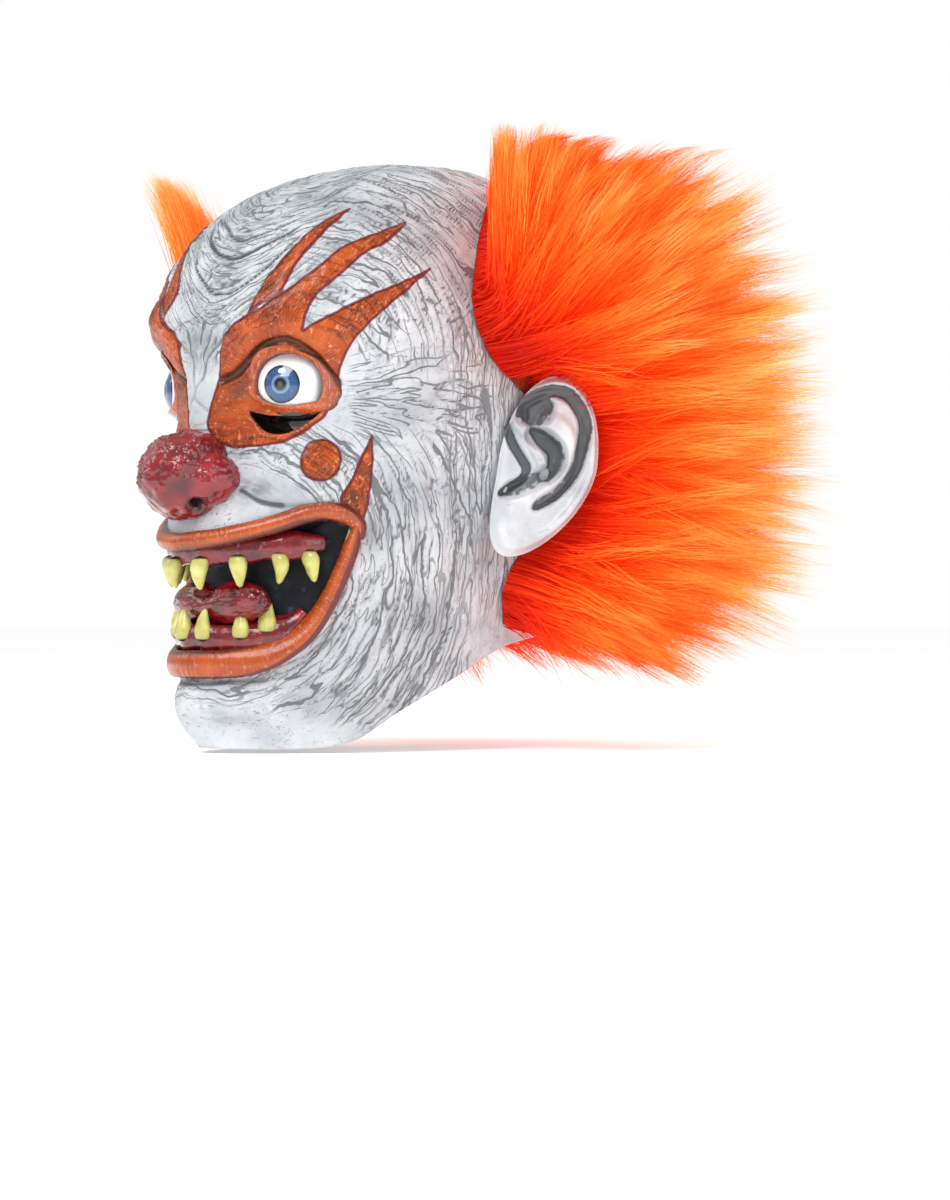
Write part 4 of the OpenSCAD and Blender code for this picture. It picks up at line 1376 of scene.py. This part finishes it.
def grow_fur(name, node, low_edge, high_edge, material, seed, tuft):
    """Locks of strands between two edges, each a function of height giving an angle.
    A strand is a thin ribbon that tapers to a point. Where tuft is a point, the last
    locks gather in a tuft that ends there."""
    draws = np.random.default_rng(seed)
    z = FUR_LOW + (FUR_HIGH - FUR_LOW) * draws.random(LOCKS) ** 0.95
    across = draws.random(LOCKS)
    in_tuft = np.zeros(LOCKS, bool)
    if tuft is not None:
        in_tuft[-TUFT_LOCKS:] = True
        z[in_tuft] = draws.uniform(*((212, 250) if tuft[0] > 0 else (205, 242)), TUFT_LOCKS)
        across[in_tuft] = abs((0.0 if tuft[0] > 0 else 1.0) - 0.16 * draws.random(TUFT_LOCKS))
    a = low_edge(z) + (high_edge(z) - low_edge(z)) * across
    # A lock for each root, then strands round it
    root = head(a, z)
    normal = head_normal(a, z)
    turn = np.minimum(a % 360, 360 - a % 360)
    reach = fur_reach(a % 360, z)
    # On the left, hair near the front edge and high up is combed upwards
    front = (1 - smoothstep(72, 128, turn)) * smoothstep(165, 215, z)
    on_right = (a % 360) > 180
    front = np.where(on_right, 0, front)
    reach = reach + np.outer(front, [13, 8, 33]) - reach * (0.32 * front)[:, None]
    reach[:, 0] *= np.where(on_right, 1 - 0.35 * smoothstep(125, 95, turn), 1)
    shorter = 0.5 * smoothstep(190, 225, z) * smoothstep(150, 100, turn)
    reach = reach * np.where(on_right, 1 - shorter, 1)[:, None]
    sway = np.stack([noise(root / 26, seed % 7 + k) for k in range(3)], -1)
    if tuft is not None:
        loose_tip = np.array([7, 9, 7]) if tuft[0] > 0 else np.array([3.5, 4, 5])
        aim = np.array(tuft) + draws.normal(0, 1, (LOCKS, 3)) * loose_tip
        reach = np.where(in_tuft[:, None], aim - root, reach)
    length = np.linalg.norm(reach, axis=1) * np.where(in_tuft, 1.0, draws.uniform(0.66, 1.1, LOCKS))
    loose = np.where(in_tuft, 0.03, 0.11)[:, None]
    comb = unit(unit(reach) + draws.normal(0, 1, (LOCKS, 3)) * loose + sway * loose * 2.4)
    belly = np.where(in_tuft, 20.0 + 12.0 * on_right, 7.0 * front)
    side_way = unit(np.cross(comb, normal) + 1e-6)
    tone = np.clip(draws.normal(0.5, 0.2, LOCKS), 0, 1)
    wave_phase = draws.uniform(0, 2 * math.pi, LOCKS)
    wave_size = draws.uniform(0.8, 2.4, LOCKS)
    gather = np.where(in_tuft, 0.92, draws.uniform(0.7, 1.0, LOCKS))

    count = LOCKS * STRANDS
    lock = np.repeat(np.arange(LOCKS), STRANDS)
    spread_a = draws.normal(0, 1, count)
    spread_z = draws.normal(0, 1, count)
    strand_length = length[lock] * (1 - 0.42 * draws.random(count) ** 2)
    radius = LOCK_RADIUS * draws.uniform(0.8, 1.3, LOCKS)[lock]
    up = np.cross(normal, side_way)
    around = spread_a[:, None] * side_way[lock] + spread_z[:, None] * up[lock]
    offset = radius[:, None] * 0.75 * around
    start = root[lock] + offset
    # Roots stay on the head: each goes back to the surface along its own angle
    root_z = np.clip(start[:, 2], FUR_LOW - 1, FUR_HIGH + 1)
    root_a = np.degrees(np.arctan2(start[:, 0], CROWN_Y - start[:, 1])) % 360
    root_a = np.clip(root_a, low_edge(root_z), high_edge(root_z))
    start = head(root_a, root_z)
    out = head_normal(root_a, root_z)
    start = start + out * FUR_BASE

    t = np.linspace(0, 1, RINGS)[None, :, None]
    straight = strand_length[:, None, None] * (
        out[:, None] * 0.42 * t * (1 - t) ** 2 * 1.6
        + comb[lock][:, None] * (t - 0.25 * t * (1 - t))
    )
    to_middle = root[lock] + normal[lock] * FUR_BASE - start
    pull = to_middle[:, None] * (gather[lock][:, None, None] * t ** 1.7)
    phase = wave_phase[lock] + draws.normal(0, 0.9, count)
    turns = strand_length / draws.uniform(30, 55, count)
    angle = 2 * math.pi * turns[:, None]
    swing = np.sin(phase[:, None] + angle * t[..., 0])[..., None] * t
    swing_up = np.cos(phase[:, None] * 1.7 + angle * 0.8 * t[..., 0])[..., None] * t
    size = (wave_size[lock] * draws.uniform(0.35, 1.0, count))[:, None, None]
    # A few of the lowest strands are loose and hang down the neck
    stray = (start[:, 2] < 74) & (draws.random(count) < 0.12)
    wild = np.where(stray, 2.6, 1.0)[:, None, None] * strand_length[:, None, None]
    frizz = draws.normal(0, 1, (count, 1, 3)) * (0.02 * wild) * t ** 1.6
    at_front = 1 - smoothstep(92, 118, np.minimum(root_a, 360 - root_a))
    hang = 0.06 + 0.12 * (1 - smoothstep(62, 84, start[:, 2])) * at_front
    droop = np.array([0, 0, -1]) * (hang[:, None, None] * wild) * t ** 2.2
    droop = droop + np.array([0, 0, -1]) * belly[lock][:, None, None] * np.sin(math.pi * t)
    line = (
        start[:, None] + straight + pull
        + size * (swing * side_way[lock][:, None] + 0.6 * swing_up * up[lock][:, None])
        + frizz + droop
    )
    # Tips that would pass the pile's outline bend back inside it
    for axis, sign, limit in ((2, 1, TOP_Z), (2, -1, LOW_Z), (1, 1, BACK_Y)):
        over = np.maximum(sign * (line[..., axis] - limit), 0)
        line[..., axis] -= sign * (over - OVERRUN * (1 - np.exp(-over / OVERRUN)))
    keep = ~crosses_ear(line)
    line, count = line[keep], int(keep.sum())
    out, strand_length, lock, t_row = out[keep], strand_length[keep], lock[keep], t[..., 0]

    ahead = unit(np.gradient(line, axis=1))
    facing = unit(draws.normal(0, 1, (count, 1, 3)) + 0.8 * out[:, None])
    sideways = unit(np.cross(ahead, facing))
    width = draws.uniform(*STRAND_W, count)[:, None] * (1 - t_row ** 1.5) ** 0.8
    width = width * np.where(in_tuft[lock], 1.4, 1.0)[:, None]
    half = sideways * width[..., None] / 2
    left = line[:, :-1] - half[:, :-1]
    right = line[:, :-1] + half[:, :-1]
    body = np.stack([left, right], 2).reshape(count, -1, 3)
    points = np.concatenate([body, line[:, -1:]], 1)
    per = points.shape[1]
    first = (np.arange(count) * per)[:, None]
    k = 2 * np.arange(RINGS - 2)[None]
    quads = np.stack([first + k, first + k + 1, first + k + 3, first + k + 2], -1).reshape(-1, 4)
    last = 2 * (RINGS - 2)
    tips = np.concatenate([first + last, first + last + 1, first + per - 1], 1)
    share = np.concatenate([np.repeat(t[0, :-1, 0], 2), [1.0]])
    strand_tone = np.clip(tone[lock] + draws.normal(0, 0.12, count), 0, 1)
    scale = (strand_length / PILE)[:, None]
    floats = {
        "tip": (share[None] * (0.35 + 0.65 * scale)).ravel(),
        "tone": np.repeat(strand_tone[:, None], per, 1).ravel(),
    }
    return make_piece(name, points.reshape(-1, 3), [quads, tips], material, [node], floats)


def fur_edge(z):
    return curve(FUR, 1, z)


def constant(value):
    return lambda z: value + 0 * z


def build_fur(material):
    edges = {
        "left": (fur_edge, constant(FUR_SEAM)),
        "right": (constant(360 - FUR_SEAM), lambda z: 360 - fur_edge(z)),
        "back": (constant(FUR_SEAM), constant(360 - FUR_SEAM)),
    }
    for number, (side, (low_edge, high_edge)) in enumerate(edges.items()):
        for piece in range(PIECES[side]):
            grow_fur(
                f"fur_{side}_pile_{piece + 1}", f"fur_{side}", low_edge, high_edge, material,
                100 * (number + 1) + piece, TUFT_TIPS.get(side) if piece == 0 else None,
            )


def fur_material():
    # The pile glows faintly in its own colour, as painted light that lifts the shade between the locks
    p = Paint("long_pile", Roughness=0.55, Specular_IOR_Level=0.2, Emission_Strength=0.16)
    tip = p.value("tip")
    tone = p.value("tone")
    shift = p.math("ADD", tip, p.step(tone, 0.0, 1.0, -0.2, 0.2))
    colour = p.ramp(shift, [
        (0.0, "D01A04"), (0.25, "F03407"), (0.5, "FF6210"), (0.75, "FF9430"), (1.0, "FFCB78"),
    ])
    return p.finish(Base_Color=colour, Emission_Color=colour)


def backing_material():
    p = Paint("knit_backing", Roughness=0.9)
    place = p.place()
    knit = p.cells(place, 650)
    colour = p.ramp(p.noise(place, 90, 3), [(0.3, "8E2406"), (0.7, "C63A0C")])
    colour = p.mix(p.step(knit, 0.2, 0.6, 0.0, 0.6), colour, srgb("5E1604"))
    return p.finish(Base_Color=colour, Normal=p.bump(knit, 0.4))


# ---- Floor, light and camera -------------------------------------------------------


WHITE = (1, 1, 1, 1)


def floor_material():
    p = Paint(
        "pale_floor", Roughness=0.9, Specular_IOR_Level=0.0,
        Emission_Color=WHITE, Emission_Strength=0.5,
    )
    colour = p.ramp(p.noise(p.place(), 3, 3), [(0.3, "F6F6F6"), (0.7, "FCFCFC")])
    return p.finish(Base_Color=colour)


def build_floor():
    place = (0, 0, CAD_BOX[0][2] - 0.002)
    bpy.ops.mesh.primitive_circle_add(vertices=96, radius=9, fill_type="NGON", location=place)
    floor = bpy.context.object
    floor.name = "floor"
    floor.data.materials.append(floor_material())


def add_light(name, azimuth, elevation, distance, size, power):
    """Square area light aimed at the middle of the head."""
    data = bpy.data.lights.new(name, "AREA")
    data.size = size
    data.energy = power
    light = bpy.data.objects.new(name, data)
    bpy.context.scene.collection.objects.link(light)
    turn, tilt = math.radians(azimuth), math.radians(elevation)
    middle = Vector((0, 0, 0.15))
    way = Vector((math.sin(turn) * math.cos(tilt), -math.cos(turn) * math.cos(tilt), math.sin(tilt)))
    light.location = middle + way * distance
    light.rotation_euler = way.to_track_quat("Z", "Y").to_euler()


def build_light():
    world = bpy.data.worlds.new("studio")
    bpy.context.scene.world = world
    world.use_nodes = True
    tree = world.node_tree
    # The camera sees a full white, and the mask is lit by half of it
    seen = tree.nodes.new("ShaderNodeBackground")
    lit = tree.nodes["Background"]
    for node, strength in ((seen, 1.0), (lit, 0.5)):
        node.inputs["Color"].default_value = WHITE
        node.inputs["Strength"].default_value = strength
    path = tree.nodes.new("ShaderNodeLightPath")
    mix = tree.nodes.new("ShaderNodeMixShader")
    tree.links.new(path.outputs["Is Camera Ray"], mix.inputs[0])
    tree.links.new(lit.outputs[0], mix.inputs[1])
    tree.links.new(seen.outputs[0], mix.inputs[2])
    tree.links.new(mix.outputs[0], tree.nodes["World Output"].inputs[0])
    add_light("key", 25, 42, 1.8, 0.9, 17)
    add_light("fill", 95, 18, 2.0, 1.2, 8)
    add_light("far_side", -55, 30, 2.0, 1.0, 6)
    add_light("behind", 190, 45, 2.0, 1.2, 9)
    bpy.context.scene.view_settings.view_transform = "Standard"


CAMERA_TURN = math.radians(48)
CAMERA_DISTANCE = 2.0
CAMERA_LENS = 121.8
# The aim is beside and below the middle of the head, so that the mask stands up and left
AIM_RIGHT = 0.0468
AIM_UP = 0.0704


def build_camera():
    data = bpy.data.cameras.new("camera")
    data.lens = CAMERA_LENS
    data.sensor_width = 36.0
    camera = bpy.data.objects.new("camera", data)
    bpy.context.scene.collection.objects.link(camera)
    right = Vector((math.cos(CAMERA_TURN), math.sin(CAMERA_TURN), 0))
    back = Vector((math.sin(CAMERA_TURN), -math.cos(CAMERA_TURN), 0))
    aim = right * AIM_RIGHT + Vector((0, 0, AIM_UP))
    camera.location = aim + back * CAMERA_DISTANCE
    camera.rotation_euler = back.to_track_quat("Z", "Y").to_euler()
    bpy.context.scene.camera = camera


# ---- The mask ----------------------------------------------------------------------

build_camera()
build_light()
build_floor()
build_skin(skin_material())
lids = lid_material()
eyes = eye_material()
ears = ear_material()
for side in (1, -1):
    build_eye(side, eyes)
    build_lids(side, lids)
    build_ear(side, ears)
build_nose(nose_material())
lips = lip_material()
gums = gum_material()
teeth = tooth_material()
for is_low in (False, True):
    build_lip(is_low, lips)
    build_gum(is_low, gums)
    build_teeth(is_low, teeth)
build_pan(pan_material())
build_tongue(gums)
build_fur(fur_material())
backing = backing_material()
for side in ("left", "right", "back"):
    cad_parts[f"fur_backing_{side}"].data.materials.clear()
    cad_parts[f"fur_backing_{side}"].data.materials.append(backing)
